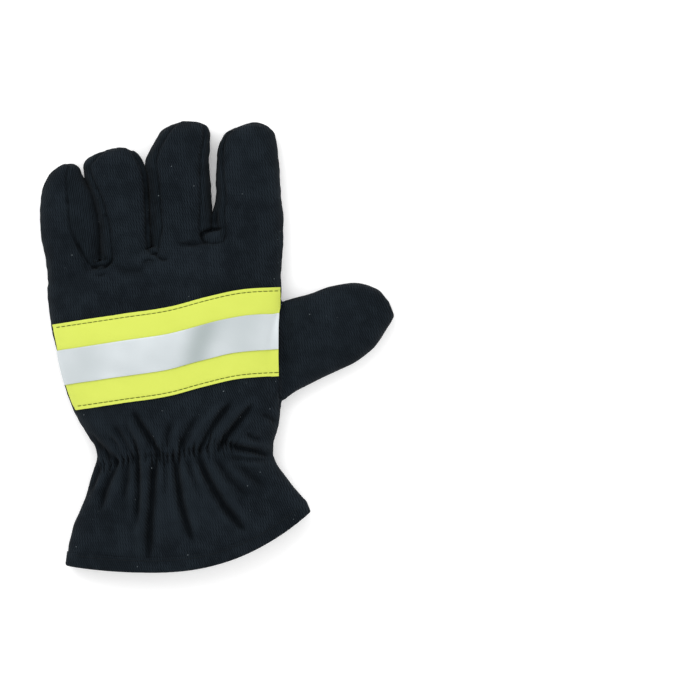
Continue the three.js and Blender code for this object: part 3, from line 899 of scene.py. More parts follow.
    def thumb_cut(self, points: Array) -> Array:
        """Signed distance to the thumb's seam.

        Args:
            points: The points, in millimetres.

        Returns:
            A distance for each, negative on the thumb.
        """
        digit = DIGITS["thumb"]
        along = np.linspace(0, 0.99, 40)
        left, right, _ = digit.edges(along)
        x = np.concatenate([left, right[::-1]])
        y = np.concatenate([along, along[::-1]]) * digit.length
        outline = outline_distance(points, digit.place(x, y, np.zeros(len(x)))[:, :2])
        _, edge, _, _ = self.hand.section(np.ones(len(points)), points[:, 1])
        spare = 6 * share((points[:, 0] - 64) / 8)
        above = np.maximum(edge - 0.4 - points[:, 0], outline - 2.5 - spare)
        return np.where(points[:, 2] > self.hand.seam, above, outline - spare)

    def side_cut(self, points: Array) -> Array:
        """Height over the side seam."""
        return self.hand.seam - points[:, 2]

    def wrist_cut(self, points: Array) -> Array:
        """Distance ahead of the wrist seam, negative in the hand."""
        return self.hand.wrist_y - points[:, 1]

    def hem_cut(self, points: Array) -> Array:
        """Distance behind the hem's front edge, negative in the cuff."""
        across = np.clip((points[:, 0] - self.hand.mouth_shift) / (self.hand.mouth_width / 2), -1, 1)
        return self.hand.mouth_y(across) + self.hand.hem_height - points[:, 1]

    def fourchette_cuts(self) -> list[tuple[Panel, Field]]:
        """The fourchettes' signed distances in plan.

        Returns:
            Each panel, and its distance, which is negative on it.
        """
        cuts = []
        for strip in self.fourchettes:
            cuts.append((strip.panel, lambda points, plan=strip.outline(): outline_distance(points, plan)))
        return cuts

    def panels_of(self, points: Array) -> Array:
        """Sorts points by panel.

        Args:
            points: The points, in millimetres.

        Returns:
            Each point's panel, as a place in the list of panels.
        """
        panels = list(Panel)
        of = np.where(self.side_cut(points) < 0, panels.index(Panel.BACK), panels.index(Panel.PALM))
        for panel, cut in self.fourchette_cuts():
            of[(cut(points) < 0) & (self.side_cut(points) < 0)] = panels.index(panel)
        ahead = points[:, 1] > -60
        of[(self.thumb_cut(points) < 0) & ahead] = panels.index(Panel.THUMB)
        of[self.wrist_cut(points) > 0] = panels.index(Panel.CUFF)
        of[self.hem_cut(points) > 0] = panels.index(Panel.CUT_OFF)
        return of

    def cut_between(self, a: int, b: int) -> Field:
        """Finds what parts two panels.

        Args:
            a: One panel's place in the list of panels.
            b: The other's.

        Returns:
            The signed distance whose zero line parts them.
        """
        panels = list(Panel)
        pair = {panels[a], panels[b]}
        if Panel.CUT_OFF in pair:
            return self.hem_cut
        if Panel.CUFF in pair:
            return self.wrist_cut
        if Panel.THUMB in pair:
            return self.thumb_cut
        if Panel.PALM in pair:
            return self.side_cut
        return dict(self.fourchette_cuts())[next(iter(pair - {Panel.BACK}))]


def snap_to_line(points: Array, facing: Array, cut: Field, limit: float = 1.0) -> Array:
    """Slides points along a surface onto the line where a signed distance is nothing.

    Args:
        points: The points, in millimetres.
        facing: The surface's direction at each.
        cut: The signed distance.
        limit: The furthest that a point may slide in one of three steps.

    Returns:
        The moved points.
    """
    step = 0.05
    for _ in range(3):
        here = cut(points)
        slope = np.stack([(cut(points + step * axis) - here) / step for axis in np.eye(3)], -1)
        slope -= (slope * facing).sum(1)[:, None] * facing
        size = np.maximum((slope**2).sum(1), 0.05)
        move = -(here / size)[:, None] * slope
        length = np.maximum(np.linalg.norm(move, axis=1), 1e-9)
        points = points + move * np.minimum(1, limit / length)[:, None]
    return points


def search_tree(points: Array) -> KDTree:
    """Sorts points for quick searches.

    Args:
        points: The points, in millimetres.

    Returns:
        A tree that finds the points near a place.
    """
    tree = KDTree(len(points))
    for i, point in enumerate(points.tolist()):
        tree.insert(point, i)
    tree.balance()
    return tree


def near_line(points: Array, line: Array) -> Array:
    """The distance from each point to the nearest of a line's points."""
    tree = search_tree(line)
    return np.array([tree.find(point)[2] for point in points])


def part_skin(skin: GloveSkin) -> dict[Panel, bpy.types.Object]:
    """Cuts the skin into its panels along clean seams, with the cloth pulled in at each seam and painted
    shade along it.

    Args:
        skin: The finished skin. It is used up.

    Returns:
        Each panel's own piece, still without thickness.
    """
    piece = skin.piece
    labels = skin.panels_of(face_centres(piece))
    corners, face_of = face_corners(piece)
    points, facing = vertices(piece), normals(piece)
    lowest = np.full(len(points), 99)
    highest = np.full(len(points), -1)
    np.minimum.at(lowest, corners, labels[face_of])
    np.maximum.at(highest, corners, labels[face_of])
    on_seam = lowest != highest
    facing = even_out(points, facing, on_seam, 1.6)
    for a, b in sorted(set(zip(lowest[on_seam].tolist(), highest[on_seam].tolist()))):
        here = (lowest == a) & (highest == b)
        points[here] = snap_to_line(points[here], facing[here], skin.cut_between(a, b))
    cut_off = list(Panel).index(Panel.CUT_OFF)
    cuff = list(Panel).index(Panel.CUFF)
    seams = on_seam & (highest < cuff) & (highest != cut_off)
    away = near_line(points, points[seams])
    groove = skin.seam_bank * bell(away - 2.6, 1.2) - skin.seam_depth * bell(away)
    pucker = 0.75 + 0.4 * Ripples(21, 5).read(points)
    set_vertices(piece, keep_above(points + facing * (groove * pucker)[:, None], 0.02))
    calm(piece)
    # Painted shade: every seam line is painted darker, on top of the painted shade of the folds.
    hollow = piece.data.attributes["hollow"].data
    shade = read(hollow, "value", kind=np.float32)
    hollow.foreach_set("value", shade + 0.8 * bell(away, 0.9).astype(np.float32))
    for panel in Panel:
        piece.data.materials.append(bpy.data.materials.new(f"cut {panel.value}"))
    piece.data.polygons.foreach_set("material_index", labels.astype(np.int32))
    pick(piece)
    with editing():
        bpy.ops.mesh.separate(type="MATERIAL")
    panels = {}
    for part in list(bpy.context.selected_objects):
        name = part.material_slots[part.data.polygons[0].material_index].material.name.removeprefix("cut ")
        part.data.materials.clear()
        if name == Panel.CUT_OFF.value:
            bpy.data.objects.remove(part)
            continue
        part.name = f"{name}_cloth"
        panels[Panel(name)] = part
    return panels


def copy_piece(piece: bpy.types.Object, name: str) -> bpy.types.Object:
    """Copies a piece with its own mesh.

    Args:
        piece: The piece.
        name: The copy's name.

    Returns:
        The copy.
    """
    pick(piece)
    bpy.ops.object.duplicate(linked=False)
    copied = bpy.context.object
    copied.name = name
    return copied


def keep_faces(piece: bpy.types.Object, kept: Array) -> None:
    """Deletes every face that isn't kept.

    Args:
        piece: The piece.
        kept: A flag for each face.
    """
    select_faces(piece, ~kept)
    with editing(Chosen.AS_IT_WAS):
        bpy.ops.mesh.delete(type="FACE")


def rim(piece: bpy.types.Object) -> Array:
    """A flag for each vertex that lies on an open edge."""
    corners, face_of = face_corners(piece)
    following = np.roll(corners, -1)
    starts = np.flatnonzero(np.diff(face_of, prepend=-1))
    ends = np.append(starts[1:], len(corners)) - 1
    following[ends] = corners[starts]
    low, high = np.minimum(corners, following).astype(np.int64), np.maximum(corners, following)
    keys, counts = np.unique(low * len(piece.data.vertices) + high, return_counts=True)
    open_edges = keys[counts == 1]
    flags = np.zeros(len(piece.data.vertices), bool)
    flags[open_edges // len(flags)] = True
    flags[open_edges % len(flags)] = True
    return flags


def even_out(points: Array, facing: Array, chosen: Array, reach: float = 3.0) -> Array:
    """Averages the chosen points' directions with those of the points round them.

    Args:
        points: The points, in millimetres.
        facing: The surface's direction at each.
        chosen: A flag for each point that is to change.
        reach: How far away the points that count lie.

    Returns:
        The directions, each of length 1.
    """
    tree = search_tree(points)
    evened = facing.copy()
    for place in np.flatnonzero(chosen):
        near = [found[1] for found in tree.find_range(points[place].tolist(), reach)]
        evened[place] = facing[near].mean(0)
    return evened / np.linalg.norm(evened, axis=1)[:, None]


@dataclass
class Trim:
    """A flat piece sewn on the skin: suede, tape or film, cut out of the skin's own shape."""

    name: str
    node: str
    cut: Field
    gap: float
    thickness: float
    rows: tuple[Array, ...] = ()
    slack: float = 0.3
    smoothing: int = 12
    edge_bevel: float = 0.22
    lowest: float = 0.25

    def build(self, skin: GloveSkin) -> bpy.types.Object:
        """Cuts the trim out of a copy of the skin and gives it its thickness.

        Args:
            skin: The skin that it is sewn on.

        Returns:
            The trim.
        """
        piece = copy_piece(skin.piece, self.name)
        keep_faces(piece, self.cut(face_centres(piece)) < 0)
        points, facing, edge = vertices(piece), normals(piece), rim(piece)
        points[edge] = snap_to_line(points[edge], facing[edge], self.cut)
        set_vertices(piece, points)
        apply_modifier(piece, "SMOOTH", factor=0.5, iterations=self.smoothing)
        points = np.where(edge[:, None], points, vertices(piece))
        facing = even_out(points, normals(piece), edge)
        pulled = np.zeros(len(points))
        for row in self.rows:
            pulled += bell(line_distance(points, row), 0.8)
        lift = self.gap + self.slack - self.slack * np.minimum(pulled, 1)
        points = points + facing * lift[:, None]
        set_vertices(piece, points)
        calm(piece, 1.15)
        apply_modifier(piece, "SOLIDIFY", thickness=self.thickness * MM, offset=1)
        apply_modifier(piece, "BEVEL", width=self.edge_bevel * MM, segments=2, limit_method="ANGLE",
                       angle_limit=math.radians(55))
        set_vertices(piece, keep_above(vertices(piece), self.lowest))
        return piece


@dataclass
class Hem:
    """The folded hem round the cuff's mouth."""

    hand: Hand
    proud: float = 0.6
    thickness: float = 3.4
    places: int = 180

    def profile(self) -> Array:
        """The hem's section.

        Returns:
            How far ahead of the mouth, and how far outside the skin, each of its points lies.
        """
        half, high = self.thickness / 2, self.hand.hem_height
        turns = np.radians(np.linspace(-90, 90, 7))
        fold = [(half - half * math.cos(turn), half * math.sin(turn)) for turn in turns]
        outer = [(y, half) for y in np.linspace(half + 0.8, high - 0.8, 8)]
        front = [(high - 0.3, half - 0.15), (high, half - 0.7), (high, 0.5 - half), (high - 0.4, -half)]
        inner = [(y, -half) for y in np.linspace(high - 1.6, half + 0.8, 5)]
        rows = np.array(fold + outer + front + inner)
        return np.stack([rows[:, 0], rows[:, 1] + self.proud - half], -1)

    def build(self, skin: GloveSkin) -> bpy.types.Object:
        """Sweeps the hem's section round the mouth and closes the ring.

        Args:
            skin: The skin, whose folds it follows.

        Returns:
            The hem.
        """
        across, over = ring_places(self.places)
        section = self.profile()
        rings = []
        for ahead, out in section:
            y = self.hand.mouth_y(across) + ahead
            points = self.hand.surface(across, y, over)
            middle = points.mean(0)
            following, before = np.roll(points, -1, 0), np.roll(points, 1, 0)
            run = following - before
            facing = np.stack([-run[:, 2], np.zeros(len(run)), run[:, 0]], -1)
            facing /= np.linalg.norm(facing, axis=1)[:, None]
            facing *= np.sign((facing * (points - middle)).sum(1))[:, None]
            relief = np.where(over, sum(crease.relief(points) for crease in skin.wrist_creases), 0)
            relief += 0.3 * Ripples(31, 30).read(points) * over
            rings.append(keep_above(points + facing * (out + relief)[:, None], 0))
        tube = make_tube("hem_cloth", np.array(rings))
        self.close_ring(tube)
        return tube

    def close_ring(self, tube: bpy.types.Object) -> None:
        """Takes off the tube's two end discs and bridges its ends into one closed ring.

        Args:
            tube: The tube, with a disc at each end.
        """
        keep_faces(tube, read(tube.data.polygons, "loop_total", kind=np.int32) < 5)
        pick(tube)
        with editing(Chosen.NOTHING):
            bpy.ops.mesh.select_mode(type="EDGE")
            bpy.ops.mesh.select_non_manifold()
            bpy.ops.mesh.bridge_edge_loops()
            bpy.ops.mesh.select_all(action="SELECT")
            bpy.ops.mesh.normals_make_consistent(inside=False)


class Value:
    """A shader socket that ordinary sums can be written with."""

    def __init__(self, finish: "Finish", socket: bpy.types.NodeSocket) -> None:
        """Wraps a socket of a finish."""
        self.finish = finish
        self.socket = socket

    def math(self, operation: str, *others: "Value | float") -> "Value":
        """One Math node on this value and those that follow it."""
        inputs = dict(enumerate((self, *others)))
        return self.finish.node("ShaderNodeMath", {"operation": operation}, inputs).out()

    def __add__(self, other: "Value | float") -> "Value":
        """This plus another."""
        return self.math("ADD", other)

    def __sub__(self, other: "Value | float") -> "Value":
        """This less another."""
        return self.math("SUBTRACT", other)

    def __rsub__(self, other: float) -> "Value":
        """A number less this."""
        return self.math("MULTIPLY", -1.0).math("ADD", other)

    def __mul__(self, other: "Value | float") -> "Value":
        """This times another."""
        return self.math("MULTIPLY", other)

    __radd__ = __add__
    __rmul__ = __mul__

    def between(self, low: float, high: float) -> "Value":
        """0 below low, 1 above high, and a smooth rise from one to the other."""
        settings = {"interpolation_type": "SMOOTHSTEP", "clamp": True}
        inputs = {0: self, 1: low, 2: high, 3: 0.0, 4: 1.0}
        return self.finish.node("ShaderNodeMapRange", settings, inputs).out()


class NodeResult:
    """A node that was made, and its outputs."""

    def __init__(self, finish: "Finish", node: bpy.types.Node) -> None:
        """Wraps a node of a finish."""
        self.finish = finish
        self.node = node

    def out(self, name: int | str = 0) -> Value:
        """One of the node's outputs."""
        return Value(self.finish, self.node.outputs[name])


class Finish:
    """A material that is built node by node."""

    def __init__(self, name: str) -> None:
        """Starts an empty material with a principled shader."""
        self.material = bpy.data.materials.new(name)
        self.material.use_nodes = True
        self.tree = self.material.node_tree
        self.shader = self.tree.nodes["Principled BSDF"]

    def node(self, kind: str, settings: dict[str, object], inputs: dict[int | str, object]) -> NodeResult:
        """Adds any node.

        Args:
            kind: The node's type.
            settings: Its own settings, which are set first.
            inputs: Values or links for its sockets.

        Returns:
            The node.
        """
        made = self.tree.nodes.new(kind)
        for key, value in settings.items():
            setattr(made, key, value)
        for key, value in inputs.items():
            if isinstance(value, Value):
                self.tree.links.new(value.socket, made.inputs[key])
            else:
                made.inputs[key].default_value = value
        return NodeResult(self, made)

    def place(self) -> Value:
        """Object coordinates, in millimetres."""
        inputs = {0: self.node("ShaderNodeTexCoord", {}, {}).out("Object"), "Scale": 1 / MM}
        return self.node("ShaderNodeVectorMath", {"operation": "SCALE"}, inputs).out()

    def along(self, place: Value, way: tuple[float, float, float]) -> Value:
        """How far each place lies in one direction."""
        inputs = {0: place, 1: way}
        return self.node("ShaderNodeVectorMath", {"operation": "DOT_PRODUCT"}, inputs).out("Value")

    def attribute(self, name: str) -> Value:
        """One of the piece's own float attributes."""
        return self.node("ShaderNodeAttribute", {"attribute_name": name}, {}).out("Fac")

    def wave(self, turn: Value, shown: Value | float = 0.5) -> Value:
        """A wave round one half, as high as shown, of an angle."""
        return turn.math("SINE") * shown + 0.5

    def noise(self, place: Value, scale: float, detail: float = 2.0, roughness: float = 0.5) -> Value:
        """Cloudy unevenness between 0 and 1, with scale clouds a millimetre."""
        inputs = {"Vector": place, "Scale": scale, "Detail": detail, "Roughness": roughness}
        return self.node("ShaderNodeTexNoise", {}, inputs).out("Fac")

    def mix(self, factor: Value | float, a: Value | tuple, b: Value | tuple) -> Value:
        """A colour between two."""
        return self.node("ShaderNodeMix", {"data_type": "RGBA"}, {0: factor, 6: a, 7: b}).out(2)

    def bump(self, height: Value, distance: float) -> Value:
        """A Bump node on a height given in shares of distance, in metres."""
        inputs = {"Height": height, "Distance": distance, "Strength": 1.0}
        return self.node("ShaderNodeBump", {}, inputs).out()

    def set(self, **inputs: Value | float | tuple) -> bpy.types.Material:
        """Sets or links the shader's sockets, named with _ for a space, and returns the material."""
        for key, value in inputs.items():
            socket = self.shader.inputs[key.replace("_", " ").title().replace("Ior", "IOR")]
            if isinstance(value, Value):
                self.tree.links.new(value.socket, socket)
            else:
                socket.default_value = value
        return self.material


def colour(red: float, green: float, blue: float) -> tuple[float, float, float, float]:
    """Turns a display colour into the shader's linear one.

    Args:
        red: Its red, from 0 to 255.
        green: Its green.
        blue: Its blue.

    Returns:
        The linear colour, solid.
    """
    shares = [part / 255 for part in (red, green, blue)]
    linear = [s / 12.92 if s <= 0.04045 else ((s + 0.055) / 1.055) ** 2.4 for s in shares]
    return (*linear, 1.0)


@dataclass(frozen=True)
class Twill:
    """Navy-black twill: fine steep wales, worn lighter in streaks, with a few specks of lint, painted shade
    in the folds and seams and a painted highlight on the fold ridges.

    The wales fade where the cloth faces along them and they would show as rings.
    """

    name: str
    dark: tuple[float, float, float]
    light: tuple[float, float, float]
    way: tuple[float, float, float] = (0.9, 0.42, 0.15)
    ribs_way: tuple[float, float, float] = (0.99, 0.08, 0.1)
    pitch: float = 1.1
    ribs_pitch: float = 1.55
    lint: tuple[float, float, float] = (120, 128, 132)

    def build(self) -> bpy.types.Material:
        """Makes the material."""
        finish = Finish(self.name)
        place = finish.place()
        wobble = finish.noise(place, 0.25) * 0.8
        turn = (finish.along(place, self.way) + wobble) * (2 * math.pi / self.pitch)
        shown = (1.0 - finish.attribute("endwise").between(0.7, 0.95)) * 0.5
        wale = finish.wave(turn, shown)
        steep = (finish.along(place, self.ribs_way) + wobble * 0.5) * (2 * math.pi / self.ribs_pitch)
        ribs = finish.wave(steep, shown)
        side = (-self.way[1], self.way[0], 0.1)
        grain = finish.node("ShaderNodeCombineXYZ", {}, {
            "X": finish.along(place, self.way), "Y": finish.along(place, side) * 0.35,
            "Z": finish.along(place, (0.0, 0.0, 0.5))}).out()
        streaks = finish.noise(grain, 0.7, 2.0, 0.6)
        fuzz = finish.noise(place, 2.2, 3.0, 0.7)
        cloud = finish.noise(place, 0.035, 3.0)
        patchy = finish.noise(place, 0.12, 2.0).between(0.35, 0.65)
        across = finish.along(place, side) * (2 * math.pi / (self.pitch * 0.8))
        yarn = finish.wave(across + turn * 0.5, shown)
        height = wale * 0.42 + yarn * 0.2 + ribs * patchy * 0.3 + streaks * 0.25 + fuzz * 0.4
        shade = (height * 0.9 + cloud * 0.4).between(0.46, 1.3)
        tint = finish.mix(shade, colour(*self.dark), colour(*self.light))
        # Painted shade and painted highlight: the fold valleys and seams are painted darker, the fold ridges
        # lighter.
        hollow = finish.attribute("hollow")
        deep_shade_colour = colour(*[part * 0.4 for part in self.dark])
        tint = finish.mix(hollow.between(0.0, 1.2) * 0.7, tint, deep_shade_colour)
        tint = finish.mix((hollow * -1.0).between(0.05, 0.8) * 0.35, tint, colour(*self.light))
        specks = finish.noise(place, 0.9, 0.0).between(0.88, 0.91)
        tint = finish.mix(specks, tint, colour(*self.lint))
        return finish.set(base_color=tint, roughness=cloud * 0.1 + 0.82,
                          normal=finish.bump(height, 0.0003), sheen_weight=0.02, sheen_roughness=0.5,
                          specular_ior_level=0.03)


@dataclass(frozen=True)
class Suede:
    """Black split leather with a short nap."""

    name: str = "black suede"
    dark: tuple[float, float, float] = (7, 8, 9)
    light: tuple[float, float, float] = (17, 19, 21)

    def build(self) -> bpy.types.Material:
        """Makes the material."""
        finish = Finish(self.name)
        place = finish.place()
        nap = finish.noise(place, 1.6, 4.0, 0.7)
        brushed = finish.noise(place, 0.07, 3.0)
        shade = (nap * 0.5 + brushed * 0.6).between(0.3, 0.85)
        tint = finish.mix(shade, colour(*self.dark), colour(*self.light))
        return finish.set(base_color=tint, roughness=brushed * 0.1 + 0.86, normal=finish.bump(nap, 0.0002),
                          sheen_weight=0.05, sheen_roughness=0.45, specular_ior_level=0.04)


@dataclass(frozen=True)
class YellowTape:
    """Lime-yellow woven tape, with fine ribs across and along it."""

    name: str = "lime tape"
    dark: tuple[float, float, float] = (199, 211, 84)
    light: tuple[float, float, float] = (205, 216, 92)
    pitch: float = 0.7

    def build(self) -> bpy.types.Material:
        """Makes the material."""
        finish = Finish(self.name)
        place = finish.place()
        turn = 2 * math.pi / self.pitch
        ribs = (finish.along(place, (0.0, 1.0, 0.15)) * turn).math("SINE")
        yarns = (finish.along(place, (1.0, 0.0, 0.4)) * turn).math("SINE")
        weave = ribs * yarns * 0.5 + 0.5
        cloud = finish.noise(place, 0.05, 3.0)
        shade = (weave * 0.5 + cloud * 0.5).between(0.15, 0.85)
        tint = finish.mix(shade, colour(*self.dark), colour(*self.light))
        return finish.set(base_color=tint, roughness=cloud * 0.1 + 0.6, normal=finish.bump(weave, 0.0001),
                          specular_ior_level=0.2)


@dataclass(frozen=True)
class SilverFilm:
    """Retroreflective silver film: a fine beaded face, with painted shade in bands across it where less
    light is reflected.

    A band's row holds its place, how narrow it is and how strongly it darkens the film.
    """

    name: str = "silver film"
    dark: tuple[float, float, float] = (184, 191, 194)
    light: tuple[float, float, float] = (201, 207, 210)
    reflection_shade: tuple[float, float, float] = (148, 158, 158)
    shade_bands: tuple[tuple[float, float, float], ...] = ((24, 0.12, 0.85), (-35, 0.09, 0.25), (46, 0.07, 0.3))

    def build(self) -> bpy.types.Material:
        """Makes the material."""
        finish = Finish(self.name)
        place = finish.place()
        beads = finish.noise(place, 4.0, 2.0, 0.6)
        cloud = finish.noise(place, 0.03, 2.0)
        shade = (cloud * 0.8 + beads * 0.2).between(0.25, 0.75)
        tint = finish.mix(shade, colour(*self.dark), colour(*self.light))
        across = finish.along(place, (0.95, -0.31, 0.0)) + cloud * 6.0
        # Painted shade: darker bands across the film where it reflects less of the lights, painted into its
        # colour.
        for middle, narrow, strength in self.shade_bands:
            off = (across - middle) * narrow
            band_shade = (off * off * -1.0).math("EXPONENT")
            tint = finish.mix(band_shade * strength, tint, colour(*self.reflection_shade))
        return finish.set(base_color=tint, roughness=cloud * 0.12 + 0.38, metallic=0.2,
                          normal=finish.bump(beads, 0.00004))


@dataclass(frozen=True)
class Thread:
    """Sewing thread: a fine twist along each stitch."""

    name: str
    dark: tuple[float, float, float]
    light: tuple[float, float, float]
    pitch: float = 0.35

    def build(self) -> bpy.types.Material:
        """Makes the material."""
        finish = Finish(self.name)
        place = finish.place()
        twist = finish.wave(finish.along(place, (0.6, 0.7, 0.4)) * (2 * math.pi / self.pitch))
        tint = finish.mix(twist, colour(*self.dark), colour(*self.light))
        return finish.set(base_color=tint, roughness=finish.noise(place, 0.5) * 0.1 + 0.7,
                          normal=finish.bump(twist, 0.0001), specular_ior_level=0.08)


@dataclass
class Stitching:
    """Rows of stitches on a surface, each a short rounded bar of thread that dips in at both ends."""

    name: str
    surface: BVHTree
    side: Side
    pitch: float = 3.0
    length: float = 2.85
    thickness: float = 0.42
    dip: float = 0.35
    rise: float = 0.16

    def one(self) -> tuple[Array, Array]:
        """Models one stitch, along X and facing +Z.

        Returns:
            Its points, and its faces of four corners.
        """
        deselect_all()
        bpy.ops.mesh.primitive_cube_add(size=1, location=(0, 0, 0))
        bar = bpy.context.object
        with editing():
            bpy.ops.mesh.subdivide(number_cuts=1, smoothness=0)
        apply_modifier(bar, "SUBSURF", levels=1, render_levels=1)
        points = vertices(bar) * MM
        faces = np.array([tuple(face.vertices) for face in bar.data.polygons])
        bpy.data.objects.remove(bar)
        reach = np.abs(points).max(0)
        points = points / (2 * reach) * (self.length, self.thickness, self.thickness)
        points[:, 2] -= self.dip * self.thickness * (2 * points[:, 0] / self.length) ** 2
        return points, faces

    def along_rows(self, rows: Sequence[Array]) -> tuple[Array, Array, Array]:
        """Where the stitches stand on the surface.

        Args:
            rows: Each row as a line of plan points.

        Returns:
            Their middles, their directions and the surface's direction there.
        """
        sign = self.side.value
        middles, runs, ups = [], [], []
        for row in rows:
            steps = np.linalg.norm(np.diff(row, axis=0), axis=1)
            gone = np.concatenate([[0], np.cumsum(steps)])
            count = max(1, int(gone[-1] / self.pitch))
            places = (np.arange(count) + 0.5) * gone[-1] / count
            ends = [np.stack([np.interp(places + shift, gone, row[:, k]) for k in (0, 1)], -1)
                    for shift in (-0.4 * self.length, 0, 0.4 * self.length)]
            for before, middle, after in zip(*ends):
                hits = [self.surface.ray_cast(Vector((*place, 200 * sign)), Vector((0, 0, -sign)))
                        for place in (before, middle, after)]
                if any(hit[0] is None for hit in hits):
                    continue
                middles.append(hits[1][0])
                runs.append((hits[2][0] - hits[0][0]).normalized())
                ups.append(hits[1][1])
        return np.array(middles), np.array(runs), np.array(ups)

    def build(self, rows: Sequence[Array]) -> bpy.types.Object:
        """Sews the rows.

        Args:
            rows: Each row as a line of plan points, in millimetres.

        Returns:
            All the stitches as one piece.
        """
        points, faces = self.one()
        middles, runs, ups = self.along_rows(rows)
        ups -= (ups * runs).sum(1)[:, None] * runs
        ups /= np.linalg.norm(ups, axis=1)[:, None]
        asides = np.cross(ups, runs)
        frames = np.stack([runs, asides, ups], 1)
        placed = np.einsum("pk,skc->spc", points, frames)
        placed += (middles + ups * self.rise * self.thickness)[:, None]
        placed[..., 2] = np.maximum(placed[..., 2], 0)
        corners = faces[None] + (np.arange(len(middles)) * len(points))[:, None, None]
        mesh = bpy.data.meshes.new(self.name)
        corners = corners.reshape(-1, faces.shape[1])
        mesh.from_pydata((placed * MM).reshape(-1, 3).tolist(), [], corners.tolist())
        piece = bpy.data.objects.new(self.name, mesh)
        bpy.context.scene.collection.objects.link(piece)
        LOG.info("%s: %d stitches", self.name, len(middles))
        return piece


@dataclass
class Studio:
    """The pale floor, the soft light and the camera straight above."""

    middle: tuple[float, float] = (0.1045, -0.0085)
    view_width: float = 0.3965
    camera_height: float = 4.0
    sensor: float = 36.0
    floor_glow: float = 0.22
    world_strength: float = 0.98

    def build(self) -> None:
        """Sets up the floor, lights and camera."""
        deselect_all()
        bpy.ops.mesh.primitive_plane_add(size=4, location=(*self.middle, 0))
        floor = bpy.context.object
        floor.name = "floor"
        bpy.ops.object.transform_apply(location=True, rotation=False, scale=False)
        finish = Finish("pale floor")
        tone = finish.noise(finish.place(), 0.004) * 0.01
        pale = finish.mix(tone, colour(250, 250, 250), colour(246, 247, 248))
        floor.data.materials.append(finish.set(base_color=pale, roughness=0.8, specular_ior_level=0.1,
                                               emission_color=(1, 1, 1, 1),
                                               emission_strength=self.floor_glow))
        world = bpy.data.worlds.new("studio")
        bpy.context.scene.world = world
        world.use_nodes = True
        background = world.node_tree.nodes["Background"].inputs
        background["Color"].default_value = (1, 1, 1, 1)
        background["Strength"].default_value = self.world_strength
        self.light("key", (-0.45, 0.7, 1.1), 1.0, 7.5)
        self.light("fill", (0.8, 0.0, 1.1), 1.2, 2.0)
        bpy.context.scene.view_settings.view_transform = "Standard"
        bpy.ops.object.camera_add(location=(*self.middle, self.camera_height), rotation=(0, 0, 0))
        camera = bpy.context.object
        camera.data.sensor_width = self.sensor
        camera.data.lens = self.sensor * self.camera_height / self.view_width
        camera.data.clip_end = 20
        bpy.context.scene.camera = camera

    def light(self, name: str, place: tuple[float, float, float], size: float, power: float) -> None:
        """Adds one large soft light that faces the glove.

        Args:
            name: The light's name.
            place: Where it stands, in metres.
            size: Its square's side, in metres.
            power: Its power, in watts.
        """
        bpy.ops.object.light_add(type="AREA", location=place)
        lamp = bpy.context.object
        lamp.name = name
        lamp.data.size = size
        lamp.data.energy = power
        away = Vector(place) - Vector((*self.middle, 0))
        lamp.rotation_euler = away.to_track_quat("Z", "Y").to_euler()


def rectangle(left: float, right: float, back: float, front: float) -> Array:
    """A rectangle's corners in plan."""
    return np.array([(left, back), (right, back), (right, front), (left, front)], float)


def ellipse(middle: tuple[float, float], across: float, ahead: float, first: float = 0,
            last: float = 360) -> Array:
    """Points on an ellipse, or on an arc of one, in plan."""
    turn = np.radians(np.linspace(first, last, 48))
    return np.stack([middle[0] + across * np.cos(turn), middle[1] + ahead * np.sin(turn)], -1)


def rows_of(*rows: tuple[float, ...]) -> tuple[Array, ...]:
    """Lines in plan, each from a row of its x and y numbers in turn."""
    return tuple(np.array(row, float).reshape(-1, 2) for row in rows)


@dataclass
class Patch:
    """A suede patch under the hand: its plan, how high it may reach, and its rows of stitches."""

    name: str
    plan: Array
    high: float
    rows: tuple[Array, ...]
    cross_name: str = ""
    cross: tuple[Array, ...] = ()


